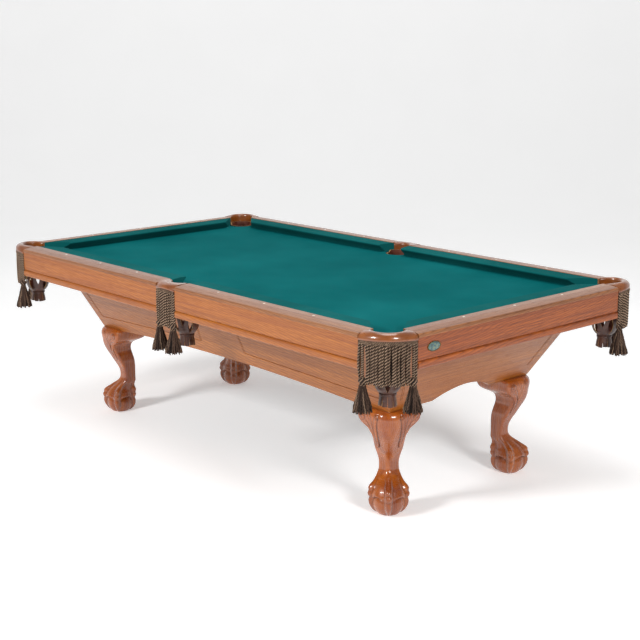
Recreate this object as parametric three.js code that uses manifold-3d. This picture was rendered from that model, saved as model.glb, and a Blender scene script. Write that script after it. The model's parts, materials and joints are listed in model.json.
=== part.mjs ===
// Eight-foot pool table: slate bed and cloth, six rails with cushions, leather pockets with
// fringe and swinging tassels, a tapered oak cabinet and four cabriole ball-and-claw legs.
//
// Millimetres, +Z up. The origin is on the floor under the middle of the table. +X runs along
// the table to its head end, which carries the name plate; -Y is its right side, +Y its left.
// Every piece that repeats is drawn once at the head end or on the right and then mirrored.

import * as THREE from 'three';
import { mergeVertices } from 'three/addons/utils/BufferGeometryUtils.js';
import Module from 'manifold-3d';

// ---------------------------------------------------------------- driving dimensions

const GAP = 0.3; // left between pieces that touch

const PLAY_LENGTH = 2235; // cushion nose to cushion nose
const PLAY_WIDTH = 1118;
const RAIL_WOOD = 77; // bare wood of a rail, outer edge to cloth
const CUSHION = 80; // cloth-covered cushion, wood to nose
const RAIL_TOP = 806; // height of the rails
const IRON_TOP = 812; // height of the pocket irons
const BED_TOP = 768; // height of the playing surface
const CLOTH = 1.2; // thickness of the bed cloth
const SLATE = 25; // thickness of the slate
const SLATE_INSET = 60; // slate edge to rail edge

const APRON_BOTTOM = 674.5;
const APRON_TOP = 786;
const APRON_DEPTH = 19; // outer edge to the back of the apron
const APRON_FACE = 2.5; // outer edge to the apron's flat face, over the bead
const CAP_LEDGE = APRON_DEPTH + 0.5; // outer edge to the step in a rail cap's underside

const HALF_LENGTH = PLAY_LENGTH / 2 + RAIL_WOOD + CUSHION;
const HALF_WIDTH = PLAY_WIDTH / 2 + RAIL_WOOD + CUSHION;

// `inset` is from the table's outer edge to the pocket's centre, `notchInset` to the middle of the
// slate's notch, and `cut` is how much of each rail the iron takes the place of. `noseCut` and
// `flare` are how far a cushion's nose stops short and how much longer the cushion is at the wood,
// and `fringe` and `tassel` are places along the iron's face.
const CORNER = {
  inset: 97, notchInset: 118, radius: 56, cut: 148, bulge: 60,
  noseCut: 92.5, flare: 95, fringe: 73, tassel: 87,
};
const SIDE = {
  inset: 103.5, notchInset: 103.5, radius: 54, cut: 62, bulge: 8,
  noseCut: 70, flare: 18, fringe: 32, tassel: 46,
};
const NOTCH_CLEARANCE = 5; // slate notch beyond the pocket's radius

const IRON_BOTTOM = 775;
const FRINGE = { bottom: 629, thickness: 10, inset: 1.5 };
const BAG = { wall: 3, frontTop: 765, seatZ: 592, neckZ: 582, neckRadius: 28, bottom: 536 };
const TASSEL = { pivotZ: 770, cordRadius: 4.7, knotZ: 638, knotRadius: 13, skirtRadius: 32, bottom: 522 };

// Cabinet: an inverted, truncated pyramid.
const CABINET = {
  halfLength: 963, // at its bottom edge
  halfWidth: 397,
  bottom: 414.5,
  leanX: 0.61, // outward lean of the end panels, per unit of height
  leanY: 0.38, // outward lean of the long panels
  board: 20,
};
const LONG_ARCH = { half: 809, rise: 27 };
const END_ARCH = { half: 166, rise: 44 };
const BEAM = { bottom: 640, half: 30 };
const LEG_TENON = { outer: -21, inner: -130, top: 480, overlap: 10 };
const FOOT = { outer: 15, inner: -102, height: 100, ballZ: 50, ballRadius: 76 };
const PLATE = { y: -490, z: 745.5, halfWidth: 33, halfHeight: 18, thickness: 2 };

// ---------------------------------------------------------------- materials

const finishes = {
  cloth: { color: 0x0a6a68, roughness: 0.95, metalness: 0 },
  oak: { color: 0xc47e45, roughness: 0.35, metalness: 0 },
  cabinet_oak: { color: 0xae7341, roughness: 0.4, metalness: 0 },
  leather: { color: 0x5a3426, roughness: 0.5, metalness: 0 },
  cord: { color: 0x5d4c3b, roughness: 0.85, metalness: 0 },
  slate: { color: 0x55585a, roughness: 0.8, metalness: 0 },
  plate: { color: 0x2f4f45, roughness: 0.35, metalness: 0.4 },
};

const table = new THREE.Group();

function addPiece(name, geometry, finish) {
  const mesh = new THREE.Mesh(geometry, new THREE.MeshStandardMaterial(finishes[finish]));
  mesh.name = name;
  table.add(mesh);
}

// ---------------------------------------------------------------- solids

const wasm = await Module();
wasm.setup();

function toSolid(geometry) {
  const bare = geometry.clone();
  bare.deleteAttribute('normal');
  bare.deleteAttribute('uv');
  const merged = mergeVertices(bare, 1e-4);
  return new wasm.Manifold(new wasm.Mesh({
    numProp: 3,
    vertProperties: new Float32Array(merged.attributes.position.array),
    triVerts: new Uint32Array(merged.index.array),
  }));
}

function toGeometry(solid) {
  const mesh = solid.getMesh();
  const geometry = new THREE.BufferGeometry();
  geometry.setAttribute('position', new THREE.BufferAttribute(mesh.vertProperties, 3));
  geometry.setIndex(new THREE.BufferAttribute(mesh.triVerts, 1));
  return geometry;
}

// Mirrors a geometry to another corner of the table and keeps its faces pointing out.
function mirrored(geometry, signX, signY) {
  const copy = mergeVertices(geometry.clone().deleteAttribute('normal').deleteAttribute('uv'), 1e-4);
  copy.scale(signX, signY, 1);
  if (signX * signY < 0) {
    const index = copy.index.array;
    for (let i = 0; i < index.length; i += 3) {
      [index[i + 1], index[i + 2]] = [index[i + 2], index[i + 1]];
    }
  }
  return copy;
}

function outline(points) {
  return new THREE.Shape(points.map(([x, y]) => new THREE.Vector2(x, y)));
}

function extruded(shape, depth, curveSegments = 12) {
  return new THREE.ExtrudeGeometry(shape, { depth, bevelEnabled: false, curveSegments });
}

function box(low, high) {
  const size = high.map((value, axis) => value - low[axis]);
  const geometry = new THREE.BoxGeometry(...size);
  geometry.translate(...low.map((value, axis) => value + size[axis] / 2));
  return geometry;
}

function uprightCylinder(x, y, radius, bottom, top) {
  const geometry = new THREE.CylinderGeometry(radius, radius, top - bottom, 48);
  geometry.rotateX(Math.PI / 2);
  geometry.translate(x, y, (bottom + top) / 2);
  return geometry;
}

// A rail section is drawn as (distance in from the table's outer edge, height) and runs along
// the right side from x = start to x = end, or along the head end from y = start to y = end.
const [X, Y, Z] = [[1, 0, 0], [0, 1, 0], [0, 0, 1]].map((axis) => new THREE.Vector3(...axis));

function alongRightSide(section, start, end) {
  const geometry = extruded(section, end - start);
  geometry.applyMatrix4(new THREE.Matrix4().makeBasis(Y, Z, X));
  geometry.translate(start, -HALF_WIDTH, 0);
  return geometry;
}

function alongHeadEnd(section, start, end) {
  const geometry = extruded(section, end - start);
  geometry.applyMatrix4(new THREE.Matrix4().makeBasis(X.clone().negate(), Z, Y));
  geometry.translate(HALF_LENGTH, start, 0);
  return geometry;
}

const QUARTERS = [
  { end: 'head', side: 'right', signX: 1, signY: 1 },
  { end: 'head', side: 'left', signX: 1, signY: -1 },
  { end: 'foot', side: 'right', signX: -1, signY: 1 },
  { end: 'foot', side: 'left', signX: -1, signY: -1 },
];
const ENDS = [{ end: 'head', signX: 1 }, { end: 'foot', signX: -1 }];
const SIDES = [{ side: 'right', signY: 1 }, { side: 'left', signY: -1 }];

// ---------------------------------------------------------------- pockets' plan

// The two pockets that are drawn: `turn` swings a pocket drawn for the right side's middle, with
// its mouth towards +Y, round to the head right corner. `chord` is how far outside the pocket's
// centre the iron's outer edge starts, and `halfChord` is half that edge's length.
const cornerPocket = {
  ...CORNER,
  x: HALF_LENGTH - CORNER.inset,
  y: -(HALF_WIDTH - CORNER.inset),
  turn: Math.PI / 4,
  chord: (2 * CORNER.inset - CORNER.cut) / Math.SQRT2,
  halfChord: (CORNER.cut - GAP) / Math.SQRT2,
};
const sidePocket = {
  ...SIDE,
  x: 0,
  y: -(HALF_WIDTH - SIDE.inset),
  turn: 0,
  chord: SIDE.inset,
  halfChord: SIDE.cut,
};

// How far outside the pocket's centre the iron's bulging face is, at `along` from its middle.
function faceDistance(pocket, along) {
  return pocket.chord + pocket.bulge * (1 - (along / pocket.halfChord) ** 2);
}

// Puts a geometry drawn round the pocket's centre, with -Y outwards, in its place on the table.
function inPocket(pocket, geometry) {
  geometry.rotateZ(pocket.turn);
  geometry.translate(pocket.x, pocket.y, 0);
  return geometry;
}

const pockets = [
  ...QUARTERS.map(({ end, side, signX, signY }) => (
    { pocket: cornerPocket, place: `${end}_${side}`, signX, signY }
  )),
  ...SIDES.map(({ side, signY }) => ({ pocket: sidePocket, place: `side_${side}`, signX: 1, signY })),
];

// ---------------------------------------------------------------- bed

// A flat outline with a U-shaped notch open to the outside at each corner and each side's middle.
function bedOutline(halfLength, halfWidth) {
  const shape = new THREE.Shape();
  const cornerX = HALF_LENGTH - CORNER.notchInset;
  const cornerY = CORNER.notchInset - HALF_WIDTH;
  const sideY = HALF_WIDTH - SIDE.notchInset;
  const cornerR = CORNER.radius + NOTCH_CLEARANCE;
  const lean = cornerR / Math.SQRT2;
  const sideR = SIDE.radius + NOTCH_CLEARANCE;
  const mouthX = cornerX - lean + (halfWidth + cornerY - lean);
  const mouthY = -cornerY - lean + (halfLength - cornerX - lean);
  const quarter = Math.PI / 4;

  shape.moveTo(sideR, -halfWidth);
  shape.lineTo(mouthX, -halfWidth);
  shape.absarc(cornerX, cornerY, cornerR, -3 * quarter, quarter, true);
  shape.lineTo(halfLength, -mouthY);
  shape.lineTo(halfLength, mouthY);
  shape.absarc(cornerX, -cornerY, cornerR, -quarter, 3 * quarter, true);
  shape.lineTo(mouthX, halfWidth);
  shape.lineTo(sideR, halfWidth);
  shape.absarc(0, sideY, sideR, 0, Math.PI, true);
  shape.lineTo(-sideR, halfWidth);
  shape.lineTo(-mouthX, halfWidth);
  shape.absarc(-cornerX, -cornerY, cornerR, quarter, 5 * quarter, true);
  shape.lineTo(-halfLength, mouthY);
  shape.lineTo(-halfLength, -mouthY);
  shape.absarc(-cornerX, cornerY, cornerR, 3 * quarter, -quarter, true);
  shape.lineTo(-mouthX, -halfWidth);
  shape.lineTo(-sideR, -halfWidth);
  shape.absarc(0, -sideY, sideR, Math.PI, 0, true);
  return shape;
}

const slateTop = BED_TOP - CLOTH - GAP;
const slateBottom = slateTop - SLATE;
const bed = bedOutline(HALF_LENGTH - SLATE_INSET, HALF_WIDTH - SLATE_INSET);
addPiece('slate_bed', extruded(bed, SLATE, 8).translate(0, 0, slateBottom), 'slate');
addPiece('bed_cloth', extruded(bed, CLOTH, 8).translate(0, 0, BED_TOP - CLOTH), 'cloth');

// ---------------------------------------------------------------- rails, cushions, aprons

const capBottom = BED_TOP + GAP;
const capSection = outline([
  [0, APRON_TOP + GAP], [CAP_LEDGE, APRON_TOP + GAP], [CAP_LEDGE, capBottom],
  [RAIL_WOOD, capBottom], [RAIL_WOOD, RAIL_TOP], [40, RAIL_TOP], [28, RAIL_TOP - 1],
  [14, RAIL_TOP - 3], [5, RAIL_TOP - 5], [1.5, RAIL_TOP - 7.5], [0, RAIL_TOP - 11],
]);
const noseAt = RAIL_WOOD + CUSHION;
const cushionSection = outline([
  [RAIL_WOOD + GAP, capBottom], [noseAt - 31, capBottom], [noseAt - 25, capBottom + 9],
  [noseAt - 1, RAIL_TOP - 9], [noseAt, RAIL_TOP - 4.5], [noseAt - 4, RAIL_TOP - 1.8],
  [noseAt - 16, RAIL_TOP - 0.6], [RAIL_WOOD + GAP, RAIL_TOP - 0.4],
]);
const apronSection = outline([
  [APRON_DEPTH, APRON_BOTTOM], [APRON_DEPTH, APRON_TOP], [APRON_FACE, APRON_TOP],
  [APRON_FACE, APRON_BOTTOM + 30.5], [0.8, APRON_BOTTOM + 26.5], [0, APRON_BOTTOM + 22.5],
  [0, APRON_BOTTOM + 6.5], [1, APRON_BOTTOM + 2.5], [4, APRON_BOTTOM],
]);

// The pocket's round hole, cut through everything at the rails' height.
function pocketHole(x, y, radius) {
  const margin = 50;
  return toSolid(uprightCylinder(x, y, radius, BED_TOP - margin, RAIL_TOP + margin));
}

// Lengthens both ends of a cushion towards the wood, by `flares` at the wood itself, so that they
// slant into the pockets. A cushion is first drawn as long as its nose.
function flareEnds(geometry, axis, depthAt, middle, flares) {
  const positions = geometry.attributes.position;
  const along = axis === 'x' ? ['getX', 'setX'] : ['getY', 'setY'];
  for (let i = 0; i < positions.count; i += 1) {
    const place = positions[along[0]](i);
    const depth = depthAt(positions.getX(i), positions.getY(i));
    const share = (noseAt - depth) / CUSHION;
    const flare = place > middle ? flares.end : -flares.start;
    positions[along[1]](i, place + flare * share);
  }
  return geometry;
}

const cornerEnd = HALF_LENGTH - CORNER.cut;
const cornerEndY = HALF_WIDTH - CORNER.cut;
const cornerNoseX = PLAY_LENGTH / 2 - CORNER.noseCut;
const cornerNoseY = PLAY_WIDTH / 2 - CORNER.noseCut;

const rightHole = pocketHole(cornerPocket.x, cornerPocket.y, CORNER.radius);
const leftHole = pocketHole(cornerPocket.x, -cornerPocket.y, CORNER.radius);
const longCap = toGeometry(
  toSolid(alongRightSide(capSection, SIDE.cut + GAP, cornerEnd)).subtract(rightHole),
);
const endCap = toGeometry(
  toSolid(alongHeadEnd(capSection, -cornerEndY, cornerEndY)).subtract(rightHole.add(leftHole)),
);
const longCushion = flareEnds(
  alongRightSide(cushionSection, SIDE.noseCut, cornerNoseX),
  'x', (x, y) => y + HALF_WIDTH, PLAY_LENGTH / 4, { start: SIDE.flare, end: CORNER.flare },
);
const endCushion = flareEnds(
  alongHeadEnd(cushionSection, -cornerNoseY, cornerNoseY),
  'y', (x) => HALF_LENGTH - x, 0, { start: CORNER.flare, end: CORNER.flare },
);
const longApron = alongRightSide(apronSection, SIDE.cut + GAP, cornerEnd);
const endApron = alongHeadEnd(apronSection, -cornerEndY, cornerEndY);

for (const { end, side, signX, signY } of QUARTERS) {
  addPiece(`rail_cap_${side}_${end}`, mirrored(longCap, signX, signY), 'oak');
  addPiece(`cushion_${side}_${end}`, mirrored(longCushion, signX, signY), 'cloth');
  addPiece(`apron_${side}_${end}`, mirrored(longApron, signX, signY), 'oak');
}
for (const { end, signX } of ENDS) {
  addPiece(`rail_cap_${end}`, mirrored(endCap, signX, 1), 'oak');
  addPiece(`cushion_${end}`, mirrored(endCushion, signX, 1), 'cloth');
  addPiece(`apron_${end}`, mirrored(endApron, signX, 1), 'oak');
}

// ---------------------------------------------------------------- pocket irons and fringe

function bulgingEdge(pocket, halfSpan, inset) {
  const steps = 12;
  return Array.from({ length: steps + 1 }, (_, step) => {
    const along = halfSpan * (2 * step / steps - 1);
    return [along, inset - faceDistance(pocket, along)];
  });
}

// The iron fills the space between the rails' ends, the pocket's hole and the bulging face.
// `inside` closes its outline on the table's side.
function ironGeometry(pocket, inside) {
  const face = bulgingEdge(pocket, pocket.halfChord, 0);
  const blank = extruded(outline([...face, ...inside]), IRON_TOP - IRON_BOTTOM);
  const ring = toSolid(blank.translate(0, 0, IRON_BOTTOM)).subtract(pocketHole(0, 0, pocket.radius));
  return inPocket(pocket, toGeometry(ring));
}

const seamReach = RAIL_WOOD / Math.SQRT2;
const cornerInside = [1, -1].map((sign) => (
  [sign * (cornerPocket.halfChord - seamReach), seamReach - cornerPocket.chord]
));
const woodLine = GAP - (SIDE.inset - RAIL_WOOD);
const sideInside = [[SIDE.cut, woodLine], [-SIDE.cut, woodLine]];

function fringeGeometry(pocket) {
  const front = bulgingEdge(pocket, pocket.fringe, FRINGE.inset);
  const back = front.map(([x, y]) => [x, y + FRINGE.thickness]).reverse();
  const height = IRON_BOTTOM - GAP - FRINGE.bottom;
  return inPocket(pocket, extruded(outline([...front, ...back]), height).translate(0, 0, FRINGE.bottom));
}

// ---------------------------------------------------------------- leather bags

function lathed(profile, segments) {
  const points = profile.map(([radius, height]) => new THREE.Vector2(radius, height));
  return new THREE.LatheGeometry(points, segments).rotateX(Math.PI / 2);
}

// A basket with a gathered neck and a flared skirt under it, open at the top. Its mouth is cut
// lower at the front, where the balls roll in off the bed.
function bagGeometry(pocket) {
  const { wall, frontTop, seatZ, neckZ, neckRadius, bottom } = BAG;
  const outer = pocket.radius - 1;
  const top = IRON_BOTTOM - GAP;
  const profile = [
    [0, bottom], [neckRadius + 4, bottom], [neckRadius, neckZ], [39, seatZ], [50, seatZ + 25],
    [outer, seatZ + 58], [outer, top], [outer - wall, top], [outer - wall, seatZ + 58],
    [50 - wall, seatZ + 28], [39 - wall, seatZ + 6], [0, seatZ],
  ];
  const front = box([-outer - 1, 0, frontTop], [outer + 1, outer + 1, top + 1]);
  return inPocket(pocket, toGeometry(toSolid(lathed(profile, 24)).subtract(toSolid(front))));
}

// ---------------------------------------------------------------- tassels

// A cord with a rounded top that turns about the pivot, a knot, and a skirt of threads.
function tasselGeometry(pocket, along) {
  const { pivotZ, cordRadius, knotZ, knotRadius, skirtRadius, bottom } = TASSEL;
  const dome = [30, 60].map((degrees) => THREE.MathUtils.degToRad(degrees)).map((angle) => (
    [cordRadius * Math.cos(angle), pivotZ + cordRadius * Math.sin(angle)]
  ));
  const profile = [
    [0, bottom], [skirtRadius, bottom], [skirtRadius - 3, bottom + 29], [20, bottom + 73],
    [12, knotZ - 18], [10, knotZ - 12], [knotRadius, knotZ], [10, knotZ + 12], [cordRadius, knotZ + 18],
    [cordRadius, pivotZ], ...dome, [0, pivotZ + cordRadius],
  ];
  const out = faceDistance(pocket, along) - FRINGE.inset - cordRadius;
  return inPocket(pocket, lathed(profile, 12).translate(along, -out, 0));
}

const parts = new Map([cornerPocket, sidePocket].map((pocket) => [pocket, {
  iron: ironGeometry(pocket, pocket === cornerPocket ? cornerInside : sideInside),
  bag: bagGeometry(pocket),
  fringe: fringeGeometry(pocket),
  tassels: [pocket.tassel, -pocket.tassel].map((along) => tasselGeometry(pocket, along)),
}]));

for (const { pocket, place, signX, signY } of pockets) {
  const { iron, bag, fringe, tassels } = parts.get(pocket);
  addPiece(`pocket_iron_${place}`, mirrored(iron, signX, signY), 'oak');
  addPiece(`pocket_bag_${place}`, mirrored(bag, signX, signY), 'leather');
  addPiece(`fringe_${place}`, mirrored(fringe, signX, signY), 'cord');
  tassels.forEach((tassel, number) => {
    addPiece(`tassel_${place}_${number + 1}`, mirrored(tassel, signX, signY), 'cord');
  });
}

// ---------------------------------------------------------------- cabinet

const cabinetTop = slateBottom - GAP;
const cabinetHeight = cabinetTop - CABINET.bottom;

// A panel seen square on: slanted ends, a straight top and an arch rising out of the bottom edge.
function panelOutline(halfBottom, lean, arch) {
  const steps = 16;
  const halfTop = halfBottom + lean * cabinetHeight;
  const archPoints = Array.from({ length: steps + 1 }, (_, step) => {
    const along = arch.half * (2 * step / steps - 1);
    return [along, arch.rise * (1 - (along / arch.half) ** 2)];
  });
  return outline([
    [-halfBottom, 0], ...archPoints, [halfBottom, 0], [halfTop, cabinetHeight], [-halfTop, cabinetHeight],
  ]);
}

// Leans an upright panel outwards by `lean` per unit of height.
function leaned(geometry, axis, lean) {
  const shear = new THREE.Matrix4().makeShear(
    0, 0, 0, 0, axis === 'x' ? lean : 0, axis === 'y' ? lean : 0,
  );
  geometry.translate(0, 0, -CABINET.bottom);
  geometry.applyMatrix4(shear);
  return geometry.translate(0, 0, CABINET.bottom);
}

const longPanel = extruded(
  panelOutline(CABINET.halfLength, CABINET.leanX, LONG_ARCH), CABINET.board,
);
longPanel.applyMatrix4(new THREE.Matrix4().makeBasis(X, Z, Y.clone().negate()));
longPanel.translate(0, CABINET.board - CABINET.halfWidth, CABINET.bottom);
leaned(longPanel, 'y', -CABINET.leanY);

const endPanelHalf = CABINET.halfWidth - CABINET.board - GAP;
const endPanel = extruded(panelOutline(endPanelHalf, CABINET.leanY, END_ARCH), CABINET.board);
endPanel.applyMatrix4(new THREE.Matrix4().makeBasis(Y, Z, X));
endPanel.translate(CABINET.halfLength - CABINET.board, 0, CABINET.bottom);
leaned(endPanel, 'x', CABINET.leanX);

for (const { side, signY } of SIDES) {
  addPiece(`cabinet_panel_${side}`, mirrored(longPanel, 1, signY), 'cabinet_oak');
}
for (const { end, signX } of ENDS) {
  addPiece(`cabinet_panel_${end}`, mirrored(endPanel, signX, 1), 'cabinet_oak');
}

// Beam across the middle of the cabinet, under the slate.
const beamHalf = (z) => CABINET.halfWidth - CABINET.board - GAP + CABINET.leanY * (z - CABINET.bottom);
const beamSection = outline([
  [-beamHalf(BEAM.bottom), BEAM.bottom], [beamHalf(BEAM.bottom), BEAM.bottom],
  [beamHalf(cabinetTop), cabinetTop], [-beamHalf(cabinetTop), cabinetTop],
]);
const beam = extruded(beamSection, 2 * BEAM.half);
beam.applyMatrix4(new THREE.Matrix4().makeBasis(Y, Z, X)).translate(-BEAM.half, 0, 0);
addPiece('centre_beam', beam, 'cabinet_oak');

// ---------------------------------------------------------------- legs

// Side view of a cabriole leg as (offset outwards from the cabinet's bottom corner, height). The
// same side view holds along X and along Y, so the leg is what both have in common.
const legTop = CABINET.bottom - GAP;
const legOuterCurve = [
  [18, 400], [21, 385], [21, 360], [10, 322], [-20, 250], [-39, 210], [-43, 180], [-40, 155],
  [-23, 138], [0, 120], [12, 98], [8, 60],
];
const legInnerCurve = [
  [-100, 60], [-106, 100], [-107, 150], [-118, 200], [-120, 250], [-121, 300], [-142, 345], [-148, 385],
];

function legOutline() {
  const shape = new THREE.Shape();
  const vectors = (points) => points.map(([offset, z]) => new THREE.Vector2(offset, z));
  shape.moveTo(-148, legTop);
  shape.lineTo(8, legTop);
  shape.splineThru(vectors(legOuterCurve));
  shape.lineTo(...legInnerCurve[0]);
  shape.splineThru(vectors(legInnerCurve.slice(1)));
  return shape;
}

// Drawn with its offsets from the cabinet's bottom corner at the head right.
function legGeometry() {
  const reach = 200; // further than the leg goes to either side of that corner
  const view = legOutline();
  const acrossY = extruded(view, 2 * reach, 2);
  acrossY.applyMatrix4(new THREE.Matrix4().makeBasis(X, Z, Y.clone().negate())).translate(0, reach, 0);
  const acrossX = extruded(view, 2 * reach, 2);
  acrossX.applyMatrix4(new THREE.Matrix4().makeBasis(Y.clone().negate(), Z, X.clone().negate()));
  acrossX.translate(reach, 0, 0);
  const shaft = toSolid(acrossY).intersect(toSolid(acrossX));

  const footMiddle = (FOOT.outer + FOOT.inner) / 2;
  const ball = new THREE.SphereGeometry(FOOT.ballRadius, 20, 12);
  ball.rotateX(Math.PI / 2).translate(footMiddle, -footMiddle, FOOT.ballZ);
  const block = box([FOOT.inner, -FOOT.outer, 0], [FOOT.outer, -FOOT.inner, FOOT.height]);
  const foot = toSolid(ball).intersect(toSolid(block));

  const tenon = box(
    [LEG_TENON.inner, -LEG_TENON.outer, legTop - LEG_TENON.overlap], [LEG_TENON.outer, -LEG_TENON.inner, LEG_TENON.top],
  );
  const leg = toGeometry(shaft.add(foot).add(toSolid(tenon)));
  return leg.translate(CABINET.halfLength, -CABINET.halfWidth, 0);
}

const leg = legGeometry();
for (const { end, side, signX, signY } of QUARTERS) {
  addPiece(`leg_${end}_${side}`, mirrored(leg, signX, signY), 'oak');
}

// ---------------------------------------------------------------- name plate

const plateShape = new THREE.Shape();
plateShape.absellipse(0, 0, PLATE.halfWidth, PLATE.halfHeight, 0, 2 * Math.PI);
const plate = extruded(plateShape, PLATE.thickness, 12);
plate.applyMatrix4(new THREE.Matrix4().makeBasis(Y, Z, X));
plate.translate(HALF_LENGTH - APRON_FACE + GAP, PLATE.y, PLATE.z);
addPiece('name_plate', plate, 'plate');

export default table;
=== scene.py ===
"""Looks for the pool table: oak, cloth, leather, twisted fringe and carved legs on the CAD frame.

Metres, +Z up, +X to the head end, -Y the right side. Repeated pieces are made once for the head
end's right corner, or for the middle of the right side, and then mirrored.
"""

import json
import math

import bpy
import numpy as np
from mathutils import Matrix, Vector


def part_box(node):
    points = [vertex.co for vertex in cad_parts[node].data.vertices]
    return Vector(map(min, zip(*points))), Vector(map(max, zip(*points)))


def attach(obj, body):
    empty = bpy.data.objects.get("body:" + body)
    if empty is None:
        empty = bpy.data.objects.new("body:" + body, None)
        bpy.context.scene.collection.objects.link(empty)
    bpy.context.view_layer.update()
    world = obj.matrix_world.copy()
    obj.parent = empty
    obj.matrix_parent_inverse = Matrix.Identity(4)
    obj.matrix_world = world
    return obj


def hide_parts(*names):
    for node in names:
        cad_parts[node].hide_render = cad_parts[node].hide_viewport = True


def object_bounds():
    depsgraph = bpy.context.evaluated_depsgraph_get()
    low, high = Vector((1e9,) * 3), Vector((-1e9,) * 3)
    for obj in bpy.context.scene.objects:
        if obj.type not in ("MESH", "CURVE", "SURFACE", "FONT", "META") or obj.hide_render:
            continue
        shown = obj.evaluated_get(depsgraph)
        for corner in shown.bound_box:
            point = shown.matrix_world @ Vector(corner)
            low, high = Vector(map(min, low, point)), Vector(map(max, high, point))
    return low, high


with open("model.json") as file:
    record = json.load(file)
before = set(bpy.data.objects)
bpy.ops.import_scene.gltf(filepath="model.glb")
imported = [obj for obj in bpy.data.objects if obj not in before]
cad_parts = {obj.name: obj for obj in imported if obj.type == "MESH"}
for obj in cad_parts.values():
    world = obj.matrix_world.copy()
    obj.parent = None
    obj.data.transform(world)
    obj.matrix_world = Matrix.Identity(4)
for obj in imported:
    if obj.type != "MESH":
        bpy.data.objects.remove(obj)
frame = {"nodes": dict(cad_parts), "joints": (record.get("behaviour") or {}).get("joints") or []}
cad_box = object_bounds()

MM = 0.001

# ------------------------------------------------------------------ places taken from the frame

HALF_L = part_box("apron_head")[1][0]
HALF_W = -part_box("apron_right_head")[0][1]
RAIL_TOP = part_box("rail_cap_head")[1][2]
RAIL_WOOD = HALF_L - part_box("rail_cap_head")[0][0]
NOSE_IN = HALF_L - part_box("cushion_head")[0][0]
BED_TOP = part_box("bed_cloth")[1][2]
APRON_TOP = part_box("apron_head")[1][2]
APRON_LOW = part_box("apron_head")[0][2]
CORNER_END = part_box("rail_cap_right_head")[1][0]
SIDE_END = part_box("rail_cap_right_head")[0][0]
IRON_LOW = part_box("pocket_iron_head_right")[0][2]
IRON_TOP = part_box("pocket_iron_head_right")[1][2]
PIVOT_Z = frame["joints"][0]["pos_m"][2]
CAB_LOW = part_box("cabinet_panel_right")[0][2]
CAB_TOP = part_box("cabinet_panel_right")[1][2]
CAB_X = 963 * MM  # half length and half width at the cabinet's bottom edge
CAB_Y = 397 * MM
LEAN_X = 0.61
LEAN_Y = 0.38
BOARD = 20 * MM
SEAM = 1.0 * MM  # a visible joint between two pieces is twice this wide


class Pocket:
    """A pocket's plan: its centre, its hole, and the iron's bulging outer edge."""

    def __init__(self, centre, radius, turn, chord, half, bulge, cords, tassel, places):
        self.centre = centre
        self.radius = radius
        self.turn = turn
        self.chord = chord
        self.half = half
        self.bulge = bulge
        self.cords = cords
        self.tassel = tassel
        self.places = places

    def face(self, along):
        """How far outside the centre the iron's face is."""
        return self.chord + self.bulge * (1 - (along / self.half) ** 2)

    def world(self, along, out, z):
        """A point given by its place along the face, its distance outwards and its height."""
        c, s = math.cos(self.turn), math.sin(self.turn)
        return np.stack([
            self.centre[0] + along * c + out * s,
            self.centre[1] + along * s - out * c,
            z + 0 * along,
        ], axis=-1)


QUARTERS = [
    ("head_right", 1, 1), ("head_left", 1, -1), ("foot_right", -1, 1), ("foot_left", -1, -1),
]
SIDES = [("side_right", 1, 1), ("side_left", 1, -1)]
CORNER_IN = 97 * MM
CORNER_CUT = 148 * MM
SIDE_IN = 103.5 * MM


def spaced(pocket_half, bulge, reach, count):
    """Places along an iron's face, at even steps along its curve, from -reach to reach."""
    along = np.linspace(-reach, reach, 200)
    slope = 2 * bulge * along / pocket_half ** 2
    run = np.concatenate([[0], np.cumsum(np.sqrt(1 + slope[1:] ** 2) * np.diff(along))])
    return list(np.interp(np.linspace(0, run[-1], count), run, along))


corner_half = (CORNER_CUT - 0.3 * MM) / math.sqrt(2)
corner = Pocket(
    centre=(HALF_L - CORNER_IN, -HALF_W + CORNER_IN), radius=56 * MM, turn=math.pi / 4,
    chord=(2 * CORNER_IN - CORNER_CUT) / math.sqrt(2), half=corner_half, bulge=60 * MM,
    cords=spaced(corner_half, 60 * MM, 75 * MM, 16) + [-97 * MM, 97 * MM], tassel=87 * MM,
    places=QUARTERS,
)
side = Pocket(
    centre=(0, -HALF_W + SIDE_IN), radius=54 * MM, turn=0, chord=SIDE_IN, half=62 * MM,
    bulge=8 * MM, cords=spaced(62 * MM, 8 * MM, 34 * MM, 7) + [-56.5 * MM, 56.5 * MM],
    tassel=46 * MM, places=SIDES,
)

# ------------------------------------------------------------------ node-material helpers


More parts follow.
